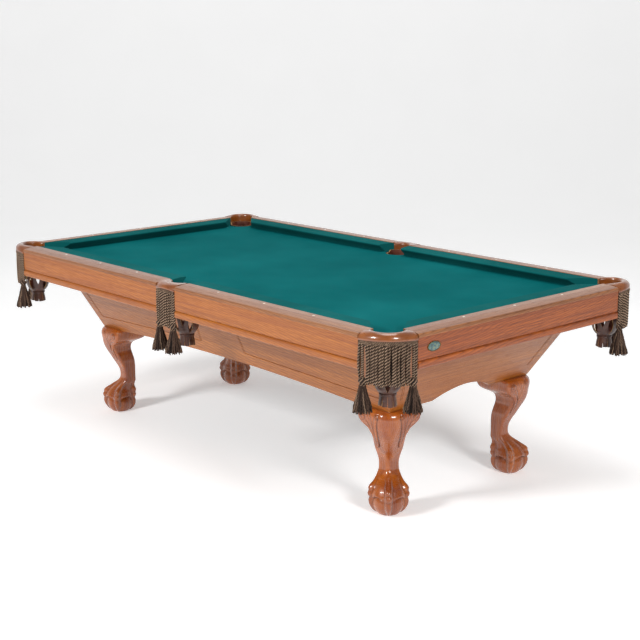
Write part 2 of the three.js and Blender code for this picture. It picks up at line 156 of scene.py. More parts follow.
class Nodes:
    """A short way to build a node material."""

    def __init__(self, name):
        self.material = bpy.data.materials.new(name)
        self.material.use_nodes = True
        self.tree = self.material.node_tree
        self.shader = self.tree.nodes["Principled BSDF"]

    def add(self, kind, **values):
        node = self.tree.nodes.new(kind)
        for key, value in values.items():
            setattr(node, key, value)
        return node

    def link(self, out, into):
        self.tree.links.new(out, into)

    def feed(self, socket, value):
        if isinstance(value, bpy.types.NodeSocket):
            self.link(value, socket)
        else:
            socket.default_value = value

    def coords(self, rotation=(0, 0, 0), scale=(1, 1, 1), location=(0, 0, 0), source="Object"):
        where = self.add("ShaderNodeTexCoord")
        mapping = self.add("ShaderNodeMapping")
        mapping.inputs["Rotation"].default_value = rotation
        mapping.inputs["Scale"].default_value = scale
        mapping.inputs["Location"].default_value = location
        self.link(where.outputs[source], mapping.inputs["Vector"])
        return mapping.outputs["Vector"]

    def noise(self, vector, scale, detail=3.0, roughness=0.55, distortion=0.0):
        node = self.add("ShaderNodeTexNoise")
        self.link(vector, node.inputs["Vector"])
        node.inputs["Scale"].default_value = scale
        node.inputs["Detail"].default_value = detail
        node.inputs["Roughness"].default_value = roughness
        node.inputs["Distortion"].default_value = distortion
        return node.outputs["Fac"]

    def math(self, operation, a, b=0.0):
        node = self.add("ShaderNodeMath", operation=operation)
        self.feed(node.inputs[0], a)
        self.feed(node.inputs[1], b)
        return node.outputs["Value"]

    def ramp(self, factor, *stops, interpolation="LINEAR"):
        node = self.add("ShaderNodeValToRGB")
        node.color_ramp.interpolation = interpolation
        elements = node.color_ramp.elements
        while len(elements) < len(stops):
            elements.new(0.5)
        for element, (place, colour) in zip(elements, stops):
            element.position = place
            element.color = (*colour, 1) if hasattr(colour, "__len__") else (colour,) * 3 + (1,)
        self.link(factor, node.inputs["Fac"])
        return node.outputs["Color"]

    def mix(self, factor, a, b, blend="MIX"):
        node = self.add("ShaderNodeMix", data_type="RGBA", blend_type=blend)
        self.feed(node.inputs["Factor"], factor)
        for socket, value in ((node.inputs[6], a), (node.inputs[7], b)):
            self.feed(socket, value if isinstance(value, bpy.types.NodeSocket) else (*value, 1))
        return node.outputs[2]

    def bump(self, height, strength, distance, normal=None):
        node = self.add("ShaderNodeBump")
        node.inputs["Strength"].default_value = strength
        node.inputs["Distance"].default_value = distance
        self.link(height, node.inputs["Height"])
        if normal is not None:
            self.link(normal, node.inputs["Normal"])
        return node.outputs["Normal"]

    def finish(self, colour=None, roughness=None, normal=None, **sockets):
        inputs = self.shader.inputs
        if colour is not None:
            self.feed(inputs["Base Color"], colour)
        if roughness is not None:
            self.feed(inputs["Roughness"], roughness)
        if normal is not None:
            self.link(normal, inputs["Normal"])
        for key, value in sockets.items():
            inputs[key.replace("_", " ")].default_value = value
        return self.material


def rgb(red, green, blue):
    """An sRGB colour, 0 to 255, as linear values."""
    return tuple(
        c / 12.92 if c <= 0.04045 else ((c + 0.055) / 1.055) ** 2.4
        for c in (v / 255 for v in (red, green, blue))
    )


# ------------------------------------------------------------------ materials


def oak(name, turn, pale, mid, dark, shift=(0, 0, 0), rings=75.0, warp=20.0, rough=0.36, coat=0.3):
    """Stained oak. turn rotates the grain, which runs along X before it."""
    n = Nodes(name)
    board = n.coords(rotation=turn, location=shift)

    def stretched(x, y, z):
        mapping = n.add("ShaderNodeMapping")
        mapping.inputs["Scale"].default_value = (x, y, z)
        n.link(board, mapping.inputs["Vector"])
        return mapping.outputs["Vector"]

    clouds = n.noise(stretched(0.6, 5, 5), 1.3, detail=2.0)
    # growth rings: even bands, pushed aside by a slow noise until they draw arches and flames
    wave = n.add(
        "ShaderNodeTexWave", wave_type="BANDS", bands_direction="DIAGONAL", wave_profile="SAW",
    )
    n.link(stretched(0.13, 1.0, 1.0), wave.inputs["Vector"])
    wave.inputs["Scale"].default_value = rings
    wave.inputs["Distortion"].default_value = warp
    wave.inputs["Detail"].default_value = 2.0
    wave.inputs["Detail Scale"].default_value = 0.17
    wave.inputs["Detail Roughness"].default_value = 0.4
    ring = n.ramp(wave.outputs["Fac"], (0.0, 0.2), (0.3, 0.0), (0.75, 0.45), (0.95, 1.0))
    # pores: short dark dashes along the grain, thickest in the dark part of each ring
    dashes = n.noise(stretched(22, 620, 620), 1.0, detail=2.0)
    pores = n.ramp(dashes, (0.5, 0.0), (0.68, 1.0))
    streaks = n.noise(stretched(2.2, 130, 130), 1.0, detail=3.0)
    base = n.mix(n.ramp(clouds, (0.35, 0.0), (0.7, 1.0)), pale, mid)
    base = n.mix(n.ramp(streaks, (0.38, 0.0), (0.7, 0.6)), base, dark)
    base = n.mix(n.math("MULTIPLY", ring, 0.6), base, dark)
    base = n.mix(n.math("MULTIPLY", pores, 0.5), base, dark)
    relief = n.math("ADD", n.math("MULTIPLY", pores, -0.8), n.math("MULTIPLY", ring, -0.4))
    return n.finish(
        base, n.ramp(pores, (0.0, rough), (1.0, min(1.0, rough + 0.22))),
        n.bump(relief, 0.35, 0.0006), Coat_Weight=coat, Coat_Roughness=0.18, Specular_IOR_Level=0.4,
    )


ALONG_X = (0, 0, 0)
ALONG_Y = (0, 0, math.radians(90))
ALONG_Z = (0, math.radians(90), 0)
RAIL_COLOURS = dict(pale=rgb(182, 108, 30), mid=rgb(164, 88, 20), dark=rgb(112, 48, 10))
END_COLOURS = dict(pale=rgb(178, 92, 22), mid=rgb(154, 72, 16), dark=rgb(84, 28, 6))
CABINET_COLOURS = dict(pale=rgb(184, 110, 34), mid=rgb(162, 90, 24), dark=rgb(104, 50, 14))
# the caps are the rail oak in a greyer copy: the grey is painted reflection, the sheen on the cap
# tops
CAP_COLOURS = dict(pale=rgb(176, 118, 72), mid=rgb(150, 92, 52), dark=rgb(92, 52, 30))


def leg_wood():
    """Glossy stained hardwood, darker where the carving is deep: partly the stain left in the cuts,
    partly painted shade.
    """
    n = Nodes("carved_oak")
    board = n.coords(rotation=ALONG_Z)
    long = n.add("ShaderNodeMapping")
    long.inputs["Scale"].default_value = (1.6, 14, 14)
    n.link(board, long.inputs["Vector"])
    figure = n.noise(long.outputs["Vector"], 1.6, detail=4.0, distortion=0.8)
    fine = n.add("ShaderNodeMapping")
    fine.inputs["Scale"].default_value = (14, 320, 320)
    n.link(board, fine.inputs["Vector"])
    pores = n.ramp(n.noise(fine.outputs["Vector"], 1.0, detail=2.0), (0.5, 0.0), (0.75, 1.0))
    base = n.mix(n.ramp(figure, (0.3, 0.0), (0.7, 1.0)), rgb(170, 88, 16), rgb(130, 56, 8))
    base = n.mix(n.math("MULTIPLY", pores, 0.25), base, rgb(96, 44, 16))
    # groove darkens the colour in the carved cuts and the foot's creases: partly the stain left in
    # them, partly painted shade
    groove = n.add("ShaderNodeAttribute", attribute_name="groove")
    base = n.mix(n.math("MULTIPLY", groove.outputs["Fac"], 0.85), base, rgb(70, 30, 12))
    return n.finish(
        base, n.ramp(pores, (0.0, 0.27), (1.0, 0.4)), n.bump(pores, 0.12, 0.0004),
        Coat_Weight=0.7, Coat_Roughness=0.07, Specular_IOR_Level=0.5,
    )


def polished_brown():
    """The pocket irons' rounded, glossy brown caps."""
    n = Nodes("pocket_iron")
    cloud = n.noise(n.coords(scale=(9, 9, 16)), 1.4, detail=4.0, distortion=0.5)
    fine = n.noise(n.coords(scale=(60, 60, 220)), 1.0, detail=3.0)
    base = n.mix(n.ramp(cloud, (0.3, 0.0), (0.72, 1.0)), rgb(146, 80, 22), rgb(104, 50, 14))
    base = n.mix(n.ramp(fine, (0.45, 0.0), (0.8, 0.35)), base, rgb(96, 50, 26))
    return n.finish(
        base, n.ramp(fine, (0.3, 0.26), (0.8, 0.36)), n.bump(fine, 0.12, 0.0006),
        Coat_Weight=0.8, Coat_Roughness=0.08,
    )


def cloth(name, colour, lift=1.0):
    """Worsted billiard cloth: a fine even weave with a soft nap."""
    n = Nodes(name)
    where = n.coords()
    threads = []
    for direction in ("X", "Y"):
        wave = n.add("ShaderNodeTexWave", wave_type="BANDS", bands_direction=direction)
        n.link(where, wave.inputs["Vector"])
        wave.inputs["Scale"].default_value = 420
        wave.inputs["Distortion"].default_value = 1.2
        wave.inputs["Detail"].default_value = 1.0
        threads.append(wave.outputs["Fac"])
    weave = n.math("MULTIPLY", *threads)
    nap = n.noise(where, 900, detail=2.0)
    cloud = n.noise(where, 2.2, detail=3.0)
    light = tuple(min(1, c * 1.22 * lift + 0.004) for c in colour)
    deep = tuple(c * 0.86 * lift for c in colour)
    base = n.mix(n.ramp(cloud, (0.35, 0.0), (0.7, 1.0)), deep, light)
    base = n.mix(n.ramp(nap, (0.4, 0.0), (0.7, 0.35)), base, light)
    height = n.math("ADD", weave, n.math("MULTIPLY", nap, 0.6))
    return n.finish(
        base, 0.95, n.bump(height, 0.25, 0.0004), Specular_IOR_Level=0.03,
    )


def leather(name, dark, mid, rough=0.42):
    """Saddle leather with fine creases and rubbed high spots."""
    n = Nodes(name)
    where = n.coords()
    grain = n.add("ShaderNodeTexVoronoi", feature="DISTANCE_TO_EDGE")
    n.link(where, grain.inputs["Vector"])
    grain.inputs["Scale"].default_value = 420
    crease = n.ramp(grain.outputs["Distance"], (0.0, 0.0), (0.12, 1.0))
    cloud = n.noise(where, 26, detail=4.0)
    base = n.mix(n.ramp(cloud, (0.35, 0.0), (0.68, 1.0)), dark, mid)
    base = n.mix(n.math("MULTIPLY", crease, 0.2), base, tuple(min(1, c * 1.5) for c in mid))
    return n.finish(
        base, n.ramp(cloud, (0.3, rough - 0.08), (0.7, rough + 0.12)), n.bump(crease, 0.3, 0.0005),
        Coat_Weight=0.2, Coat_Roughness=0.3,
    )


def cord_fibre(name="cord"):
    """Twisted cotton, coloured by crest: a painted highlight in tan where a strand stands proud,
    and painted shade, nearly black, between strands.
    """
    n = Nodes(name)
    crest = n.add("ShaderNodeAttribute", attribute_name="crest")
    fluff = n.noise(n.coords(scale=(1, 1, 0.5)), 700, detail=3.0)
    cloud = n.noise(n.coords(), 30, detail=2.0)
    # painted highlight and painted shade: crest 1, a strand's top, is tan; crest 0, between
    # strands, is nearly black
    base = n.ramp(
        crest.outputs["Fac"],
        (0.0, rgb(9, 6, 5)), (0.4, rgb(30, 21, 17)),
        (0.72, rgb(92, 70, 57)), (1.0, rgb(178, 150, 124)),
    )
    base = n.mix(n.ramp(cloud, (0.4, 0.0), (0.65, 0.35)), base, rgb(58, 40, 32))
    base = n.mix(n.ramp(fluff, (0.42, 0.0), (0.7, 0.35)), base, rgb(34, 24, 19))
    return n.finish(
        base, 0.75, n.bump(fluff, 0.4, 0.0006), Specular_IOR_Level=0.2,
    )


def slate_stone():
    n = Nodes("slate")
    layers = n.noise(n.coords(scale=(3, 3, 60)), 1.5, detail=6.0)
    base = n.ramp(layers, (0.3, rgb(74, 78, 82)), (0.7, rgb(104, 108, 110)))
    return n.finish(base, 0.7, n.bump(layers, 0.3, 0.001))


def badge_enamel():
    """A plain badge: dark green enamel with a soft pale and gold wave, and no marks."""
    n = Nodes("badge_enamel")
    cloud = n.noise(n.coords(location=(0, 0, 0)), 55, detail=2.0, distortion=1.5)
    base = n.ramp(
        cloud, (0.35, rgb(22, 52, 50)), (0.5, rgb(40, 92, 96)), (0.62, rgb(112, 120, 78)),
        (0.7, rgb(34, 66, 56)),
    )
    return n.finish(base, 0.25, Coat_Weight=1.0, Coat_Roughness=0.05)


def pearl():
    n = Nodes("pearl")
    cloud = n.noise(n.coords(), 220, detail=2.0)
    return n.finish(n.ramp(cloud, (0.35, rgb(196, 190, 172)), (0.65, rgb(236, 230, 214))), 0.3)


def badge_rim():
    n = Nodes("badge_rim")
    scratch = n.noise(n.coords(), 300, detail=2.0)
    base = n.ramp(scratch, (0.3, rgb(70, 58, 34)), (0.7, rgb(120, 100, 58)))
    return n.finish(base, 0.3, Metallic=0.9)


TEAL = rgb(0, 94, 96)
M = {
    "rail_x": oak("oak_rail_x", ALONG_X, warp=14, **RAIL_COLOURS),
    "rail_y": oak("oak_rail_y", ALONG_Y, shift=(0.4, 0.2, 0.1), warp=30, **END_COLOURS),
    "cap_x": oak("oak_cap_x", ALONG_X, shift=(0.3, 0.9, 0), rough=0.34, coat=0.4, **CAP_COLOURS),
    "cap_y": oak("oak_cap_y", ALONG_Y, shift=(0.8, 0.1, 0), rough=0.34, coat=0.4, **CAP_COLOURS),
    "cabinet_x": oak("oak_cabinet_x", ALONG_X, shift=(0.1, 0.5, 0.3), warp=9, **CABINET_COLOURS),
    "cabinet_y": oak("oak_cabinet_y", ALONG_Y, shift=(0.6, 0.3, 0.2), warp=24, **CABINET_COLOURS),
    "leg": leg_wood(),
    "iron": polished_brown(),
    "cloth": cloth("bed_cloth", TEAL),
    # the cushions are the same cloth as the bed; their greyer teal is painted sheen, the grazing
    # reflection on the cushion tops
    "cushion": cloth("cushion_cloth", rgb(12, 90, 90)),
    "leather": leather("pocket_leather", rgb(46, 24, 18), rgb(84, 48, 34)),
    "edge": leather("cut_leather_edge", rgb(150, 112, 66), rgb(196, 158, 104), rough=0.5),
    "lining": leather("pocket_lining", rgb(66, 30, 20), rgb(112, 58, 38)),
    "cord": cord_fibre(),
    "slate": slate_stone(),
    "enamel": badge_enamel(),
    "rim": badge_rim(),
    "pearl": pearl(),
}

# ------------------------------------------------------------------ mesh helpers


def make(
    name, verts, faces, materials, body="table", replaces=(), crease=40, indices=None,
):
    """A mesh piece that rides on a body, smooth except at edges sharper than crease degrees."""
    mesh = bpy.data.meshes.new(name)
    mesh.from_pydata([tuple(v) for v in verts], [], faces)
    for key in materials if isinstance(materials, (list, tuple)) else [materials]:
        mesh.materials.append(M[key])
    if indices is not None:
        mesh.polygons.foreach_set("material_index", indices)
    mesh.update()
    mesh.shade_smooth()
    mesh.set_sharp_from_angle(angle=math.radians(crease))
    piece = bpy.data.objects.new(name, mesh)
    bpy.context.scene.collection.objects.link(piece)
    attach(piece, body)
    if replaces:
        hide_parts(*replaces)
    return piece


def flip(verts, faces, sign_x, sign_y):
    """Mirrors to another corner and keeps the faces pointing out."""
    verts = np.asarray(verts) * (sign_x, sign_y, 1)
    if sign_x * sign_y < 0:
        faces = [tuple(reversed(f)) for f in faces]
    return verts, faces


def grid_faces(rows, columns, wrap_columns=True, start=0):
    """Quads of a grid whose point (row, column) has the number start + row * columns + column."""
    reach = columns if wrap_columns else columns - 1
    return [
        (start + r * columns + c, start + r * columns + (c + 1) % columns,
         start + (r + 1) * columns + (c + 1) % columns, start + (r + 1) * columns + c)
        for r in range(rows - 1) for c in range(reach)
    ]


def arc(centre, radius, first, last, steps):
    """Points of an arc, with its ends, between two angles in degrees."""
    angles = np.radians(np.linspace(first, last, steps + 1))
    return [(centre[0] + radius * math.cos(a), centre[1] + radius * math.sin(a)) for a in angles]


def catmull(points, count):
    """A smooth curve through points, at count even steps of its parameter."""
    p = np.asarray(points, float)
    p = np.vstack([2 * p[0] - p[1], p, 2 * p[-1] - p[-2]])
    u = np.linspace(0, len(points) - 1 - 1e-9, count)
    k = u.astype(int)
    f = (u - k)[:, None]
    a, b, c, d = p[k], p[k + 1], p[k + 2], p[k + 3]
    return 0.5 * (2 * b + (c - a) * f + (2 * a - 5 * b + 4 * c - d) * f ** 2
                  + (3 * b - a - 3 * c + d) * f ** 3)


def join(parts):
    """Joins (verts, faces, values) triples into one, where values is one number per vertex."""
    verts, faces, values, start = [], [], [], 0
    for v, f, a in parts:
        verts.append(np.asarray(v))
        faces.extend(tuple(i + start for i in face) for face in f)
        values.append(np.asarray(a))
        start += len(v)
    return np.vstack(verts), faces, np.concatenate(values)


def add_values(piece, name, values):
    """Stores one number per vertex for the material to read."""
    attribute = piece.data.attributes.new(name, "FLOAT", "POINT")
    attribute.data.foreach_set("value", np.asarray(values, np.float32))


def wobble(seed, scale=1.0):
    """A fixed pseudo-random number from -scale to scale."""
    return scale * (2 * (math.sin(seed * 12.9898 + 4.1) * 43758.5453 % 1) - 1)


# ------------------------------------------------------------------ rails, cushions and aprons


def rail_point(side_name, depth, z, along):
    """A point given by its depth in from the outer edge, on the right side or the head end."""
    if side_name == "right":
        return (along, -HALF_W + depth, z)
    return (HALF_L - depth, along, z)


def swept(side_name, section, ends, stations=2):
    """A section swept along one side. ends are two functions of depth that give where it stops."""
    rows = []
    for k in range(stations):
        share = k / (stations - 1)
        rows.append([
            rail_point(side_name, d, z, ends[0](d) * (1 - share) + ends[1](d) * share)
            for d, z in section
        ])
    columns = len(section)
    verts = np.array(rows).reshape(-1, 3)
    faces = grid_faces(stations, columns)
    if side_name == "right":
        faces = [tuple(reversed(f)) for f in faces]
        faces.append(tuple(range(columns)))
        faces.append(tuple(reversed(range((stations - 1) * columns, stations * columns))))
    else:
        faces.append(tuple(reversed(range(columns))))
        faces.append(tuple(range((stations - 1) * columns, stations * columns)))
    return verts, faces


def cap_section():
    """Rail cap: flat inside, easing down to a soft outer edge, with a rabbet over the apron."""
    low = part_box("rail_cap_head")[0][2]
    lip = APRON_TOP + 0.3 * MM
    points = [
        (0.6 * MM, lip), (19.5 * MM, lip), (19.5 * MM, low), (RAIL_WOOD, low),
        (RAIL_WOOD, RAIL_TOP - 0.8 * MM), (RAIL_WOOD - 0.8 * MM, RAIL_TOP),
        (RAIL_WOOD - 6 * MM, RAIL_TOP), (44 * MM, RAIL_TOP), (40 * MM, RAIL_TOP - 0.2 * MM),
    ]
    points += [(x * MM, RAIL_TOP - y * MM) for x, y in ((36, 0.9), (28, 1.9), (20, 3.0), (12, 4.3))]
    points += [(8 * MM - x, RAIL_TOP - 12.6 * MM + y) for x, y in arc((0, 0), 7.4 * MM, 90, 0, 6)]
    points.append((0.6 * MM, RAIL_TOP - 17 * MM))
    points += [(0.1 * MM, lip + 1.5 * MM)]
    return points


def hole_limit(pocket, depth, end):
    """Where a rail's end stops at this depth: at the iron, or earlier at the pocket's hole."""
    across = pocket.centre[1] + HALF_W - depth
    gap = (pocket.radius + 0.6 * MM) ** 2 - across ** 2
    return min(end, pocket.centre[0] - math.sqrt(gap)) if gap > 0 else end


def rails():
    section = cap_section()
    end_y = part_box("rail_cap_head")[1][1] - SEAM
    long_ends = (lambda d: SIDE_END + SEAM, lambda d: hole_limit(corner, d, CORNER_END - SEAM))
    shift = CORNER_END - end_y

    def head_end(d):
        return hole_limit(corner, d, CORNER_END - SEAM) - shift

    verts, faces = swept("right", section, long_ends)
    for place, sx, sy in QUARTERS:
        end_name, side_name = place.split("_")
        v, f = flip(verts, faces, sx, sy)
        name = f"rail_cap_{side_name}_{end_name}"
        make(f"oak_{name}", v, f, "cap_x", replaces=[name], crease=30)
    verts, faces = swept("head", section, (lambda d: -head_end(d), head_end))
    for end_name, sx in (("head", 1), ("foot", -1)):
        v, f = flip(verts, faces, sx, 1)
        name = f"rail_cap_{end_name}"
        make(f"oak_{name}", v, f, "cap_y", replaces=[name], crease=30)


def apron_section():
    """Apron: a flat face over a quirked bead along the bottom."""
    low = APRON_LOW
    points = [(19 * MM, APRON_TOP), (3.2 * MM, APRON_TOP), (2.5 * MM, APRON_TOP - 0.7 * MM)]
    points += [(2.5 * MM, low + 33 * MM), (4.6 * MM, low + 31.5 * MM), (4.6 * MM, low + 29.5 * MM)]
    points += [(8 * MM - x, low + 20 * MM + y) for x, y in arc((0, 0), 8 * MM, 80, 0, 7)]
    points += [(0, low + 11 * MM)]
    points += [(5 * MM - x, low + 5 * MM + y) for x, y in arc((0, 0), 5 * MM, 0, -90, 5)]
    points.append((19 * MM, low))
    return points


def aprons():
    section = apron_section()
    end_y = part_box("apron_head")[1][1]
    verts, faces = swept("right", section, (lambda d: SIDE_END, lambda d: CORNER_END))
    for place, sx, sy in QUARTERS:
        end_name, side_name = place.split("_")
        v, f = flip(verts, faces, sx, sy)
        name = f"apron_{side_name}_{end_name}"
        make(f"oak_{name}", v, f, "rail_x", replaces=[name], crease=28)
    verts, faces = swept("head", section, (lambda d: -end_y, lambda d: end_y))
    for end_name, sx in (("head", 1), ("foot", -1)):
        v, f = flip(verts, faces, sx, 1)
        name = f"apron_{end_name}"
        make(f"oak_{name}", v, f, "rail_y", replaces=[name], crease=28)


def cushion_section():
    """Cloth-covered cushion: gently crowned on top, a round nose, and an undercut front."""
    low = BED_TOP + 0.4 * MM
    inner = RAIL_WOOD + 0.4 * MM
    top = RAIL_TOP - 0.4 * MM
    nose = NOSE_IN
    points = [(inner, low), (nose - 31 * MM, low), (nose - 25 * MM, low + 9 * MM)]
    points += [(nose - 13 * MM, low + 18 * MM), (nose - 3 * MM, RAIL_TOP - 10.5 * MM)]
    points += [
        (nose - 4.4 * MM + x, RAIL_TOP - 6.4 * MM + y)
        for x, y in arc((0, 0), 4.4 * MM, -40, 80, 8)
    ]
    points += [(nose - 14 * MM, top - 1.0 * MM), (nose - 32 * MM, top + 0.1 * MM)]
    points += [(inner + 26 * MM, top), (inner + 8 * MM, top - 0.3 * MM)]
    points += [(inner + 2.4 * MM, top - 0.9 * MM), (inner + 0.6 * MM, top - 2.4 * MM)]
    points.append((inner, top - 5 * MM))
    return points


def cushions():
    section = cushion_section()
    flare_corner = 95 * MM / (NOSE_IN - RAIL_WOOD)
    flare_side = 18 * MM / (NOSE_IN - RAIL_WOOD)
    long_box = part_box("cushion_right_head")
    nose_x = (long_box[0][0] + 18 * MM, long_box[1][0] - 95 * MM)
    nose_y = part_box("cushion_head")[1][1] - 95 * MM

    def side_stop(d):
        return nose_x[0] - flare_side * (NOSE_IN - d)

    def corner_stop(d):
        return nose_x[1] + flare_corner * (NOSE_IN - d)

    def end_stop(d):
        return nose_y + flare_corner * (NOSE_IN - d)

    def piece(verts, faces, name):
        cushion = make(
            f"cloth_{name}", verts, faces, "cushion", replaces=[name], crease=50,
        )
        bevel = cushion.modifiers.new("folded_ends", "BEVEL")
        bevel.width = 2.2 * MM
        bevel.segments = 3
        bevel.limit_method = "ANGLE"
        bevel.angle_limit = math.radians(60)

    verts, faces = swept("right", section, (side_stop, corner_stop))
    for place, sx, sy in QUARTERS:
        end_name, side_name = place.split("_")
        piece(*flip(verts, faces, sx, sy), f"cushion_{side_name}_{end_name}")
    verts, faces = swept("head", section, (lambda d: -end_stop(d), end_stop))
    for end_name, sx in (("head", 1), ("foot", -1)):
        piece(*flip(verts, faces, sx, 1), f"cushion_{end_name}")


# ------------------------------------------------------------------ pocket irons


def iron_edge(share):
    """Height of an iron's lower edge, which arches up a little between its ends."""
    return IRON_LOW + (3 + 7 * (1 - share ** 2)) * MM


def iron(pocket):
    """A domed cap round the hole that bulges outwards over the fringe."""
    steps = 40
    rows = []
    span = pocket.half - SEAM * 0.7
    for k in range(steps + 1):
        share = 2 * k / steps - 1
        along = span * share
        out = pocket.face(along) - 0.3 * MM
        reach = pocket.radius + 0.4 * MM
        if pocket is corner:
            # the inner edge follows the hole from one rail's end to the other's
            angle = math.radians(109) * share
            inner = (reach * math.sin(angle), reach * math.cos(angle))
            top = RAIL_TOP + 0.5 * MM + (IRON_TOP - RAIL_TOP - 0.5 * MM) * (1 - share ** 4)
        else:
            x = (SIDE_END - 2 * SEAM) * share
            inside = SIDE_IN - RAIL_WOOD + 0.8 * MM
            inner = (x, math.sqrt(reach ** 2 - x ** 2) if abs(x) < 47 * MM else inside)
            top = RAIL_TOP + 1 * MM
        low = iron_edge(share)
        dx, dy = along - inner[0], out - inner[1]
        width = math.hypot(dx, dy)
        ux, uy = dx / width, dy / width
        shoulder, fall = min(0.28 * width, 12 * MM), 10 * MM
        round_out, round_down = min(34 * MM, 0.6 * width), top - low - 5 * MM
        section = [(0, IRON_LOW), (0, top - fall)]
        section += [
            (shoulder - shoulder * math.cos(t), top - fall + fall * math.sin(t))
            for t in np.radians(np.linspace(22, 90, 4))
        ]
        section += [
            (
                width - round_out + round_out * math.cos(t),
                top - round_down + round_down * math.sin(t),
            )
            for t in np.radians(np.linspace(90, 0, 13))
        ]
        section += [
            (width - 0.6 * MM, low + 1.2 * MM), (width - 3 * MM, low),
            (width - 14 * MM, low - 1 * MM),
        ]
        rows.append([
            pocket.world(np.float64(inner[0] + ux * w), np.float64(inner[1] + uy * w), z)
            for w, z in section
        ])
    columns = len(rows[0])
    verts = np.array(rows).reshape(-1, 3)
    faces = grid_faces(steps + 1, columns)
    faces = [tuple(reversed(f)) for f in faces]
    faces.append(tuple(range(columns)))
    faces.append(tuple(reversed(range(steps * columns, (steps + 1) * columns))))
    for place, sx, sy in pocket.places:
        v, f = flip(verts, faces, sx, sy)
        name = f"pocket_iron_{place}"
        make(f"brown_{name}", v, f, "iron", replaces=[name], crease=50)


# ------------------------------------------------------------------ twisted cords


def twisted(path, radius, pitch, phase=0.0, sides=10, taper=0.0, plies=2):
    """A rope of twisted strands along a path of points. Returns verts, faces and crest values."""
    path = np.asarray(path, float)
    count = len(path)
    tangent = np.gradient(path, axis=0)
    tangent /= np.linalg.norm(tangent, axis=1)[:, None]
    guide = np.array([0.31, 0.95, 0.05])
    side_axis = np.cross(tangent, guide)
    side_axis /= np.linalg.norm(side_axis, axis=1)[:, None]
    other = np.cross(tangent, side_axis)
    run = np.concatenate([[0], np.cumsum(np.linalg.norm(np.diff(path, axis=0), axis=1))])
    angles = 2 * math.pi * np.arange(sides) / sides
    verts, crest = [], []
    for k in range(count):
        spin = phase + 2 * math.pi * run[k] / pitch
        lobe = np.abs(np.cos(angles * plies / 2))
        size = radius * (0.56 + 0.44 * lobe)
        end = min(1.0, (run[-1] - run[k]) / (4 * radius) + 0.35)
        size = size * (1 - taper + taper * end)
        a = angles + spin
        verts.append(path[k] + size[:, None] * (
            np.cos(a)[:, None] * side_axis[k] + np.sin(a)[:, None] * other[k]))
        # crest: 1 on each strand's top, 0 between strands; the cord material paints it as highlight
        # and shade
        crest.append(lobe)
    verts = np.vstack(verts)
    faces = grid_faces(count, sides)
    faces.append(tuple(reversed(range(sides))))
    faces.append(tuple(range((count - 1) * sides, count * sides)))
    return verts, faces, np.concatenate(crest)


def hanging(pocket, along, back, top, bottom, sway=(0.0, 0.0), steps=44):
    """A path that hangs from under the iron, with a slight sway along and outwards."""
    share = np.linspace(0, 1, steps)
    out = pocket.face(along) - back
    return pocket.world(
        along + sway[0] * np.sin(share * math.pi * 0.9) ** 2,
        out + sway[1] * np.sin(share * math.pi * 0.8) + 0 * share,
        top + (bottom - top) * share,
    )


def fringe(pocket):
    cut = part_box("fringe_head_right")[0][2]
    parts = []
    for number, along in enumerate(pocket.cords):
        at_end = abs(along) > pocket.tassel
        top = iron_edge(along / pocket.half) - 5 * MM
        bottom = cut - 2 * MM + wobble(number, 5 * MM) + (14 * MM if at_end else 0)
        path = hanging(
            pocket, along, 4 * MM if at_end else 6.6 * MM + wobble(number + 40, 1.5 * MM),
            top, bottom,
            (wobble(number + 7, 5.5 * MM), wobble(number + 90, 2.0 * MM)), steps=90,
        )
        parts.append(twisted(path, 5.7 * MM, 22 * MM, phase=number * 1.3, taper=0.5))
    # a shorter row behind closes the gaps between the cords; it is painted darker, at 0.45 of its
    # crest values, as painted shade behind the front row
    for number, (first, second) in enumerate(zip(pocket.cords[:-3], pocket.cords[1:-2])):
        top = iron_edge((first + second) / 2 / pocket.half) - 5 * MM
        path = hanging(
            pocket, (first + second) / 2, 14 * MM, top,
            cut + 8 * MM + wobble(number + 5, 5 * MM), steps=60,
        )
        v, f, crest = twisted(path, 5.0 * MM, 22 * MM, phase=number, sides=8, taper=0.5)
        parts.append((v, f, 0.45 * crest))
    # the heading: two cords laid along the iron's lower edge
    for level in range(2):
        along = np.linspace(-1, 1, 210) * (pocket.half - 6 * MM)
        z = iron_edge(along / pocket.half) - (3.2 + 6.0 * level) * MM
        path = pocket.world(along, pocket.face(along) - (4.2 - 1.4 * level) * MM, z)
        parts.append(twisted(path, 3.9 * MM, 12 * MM, phase=level, sides=8))
    verts, faces, crest = join(parts)
    for place, sx, sy in pocket.places:
        v, f = flip(verts, faces, sx, sy)
        name = f"fringe_{place}"
        piece = make(f"cords_{name}", v, f, "cord", replaces=[name], crease=70)
        add_values(piece, "crest", crest)


# ------------------------------------------------------------------ tassels


def knot(centre, out_radius, height):
    """A ball of cord wound on the slant, as a ribbed and lobed closed form."""
    rows, columns = 16, 30
    verts, crest = [], []
    for r in range(rows + 1):
        polar = math.pi * r / rows
        for c in range(columns):
            angle = 2 * math.pi * c / columns
            rib = math.cos(angle * 6 + polar * 5)
            swell = 1 + 0.09 * rib * math.sin(polar)
            verts.append((
                centre[0] + out_radius * swell * math.sin(polar) * math.cos(angle),
                centre[1] + out_radius * swell * math.sin(polar) * math.sin(angle),
                centre[2] + height / 2 * math.cos(polar),
            ))
            # the ribs get high crest values, so the cord material paints a highlight on each rib
            # and shade between them
            crest.append(0.5 + 0.5 * rib)
    faces = [tuple(reversed(f)) for f in grid_faces(rows + 1, columns)]
    return np.array(verts), faces, np.array(crest)


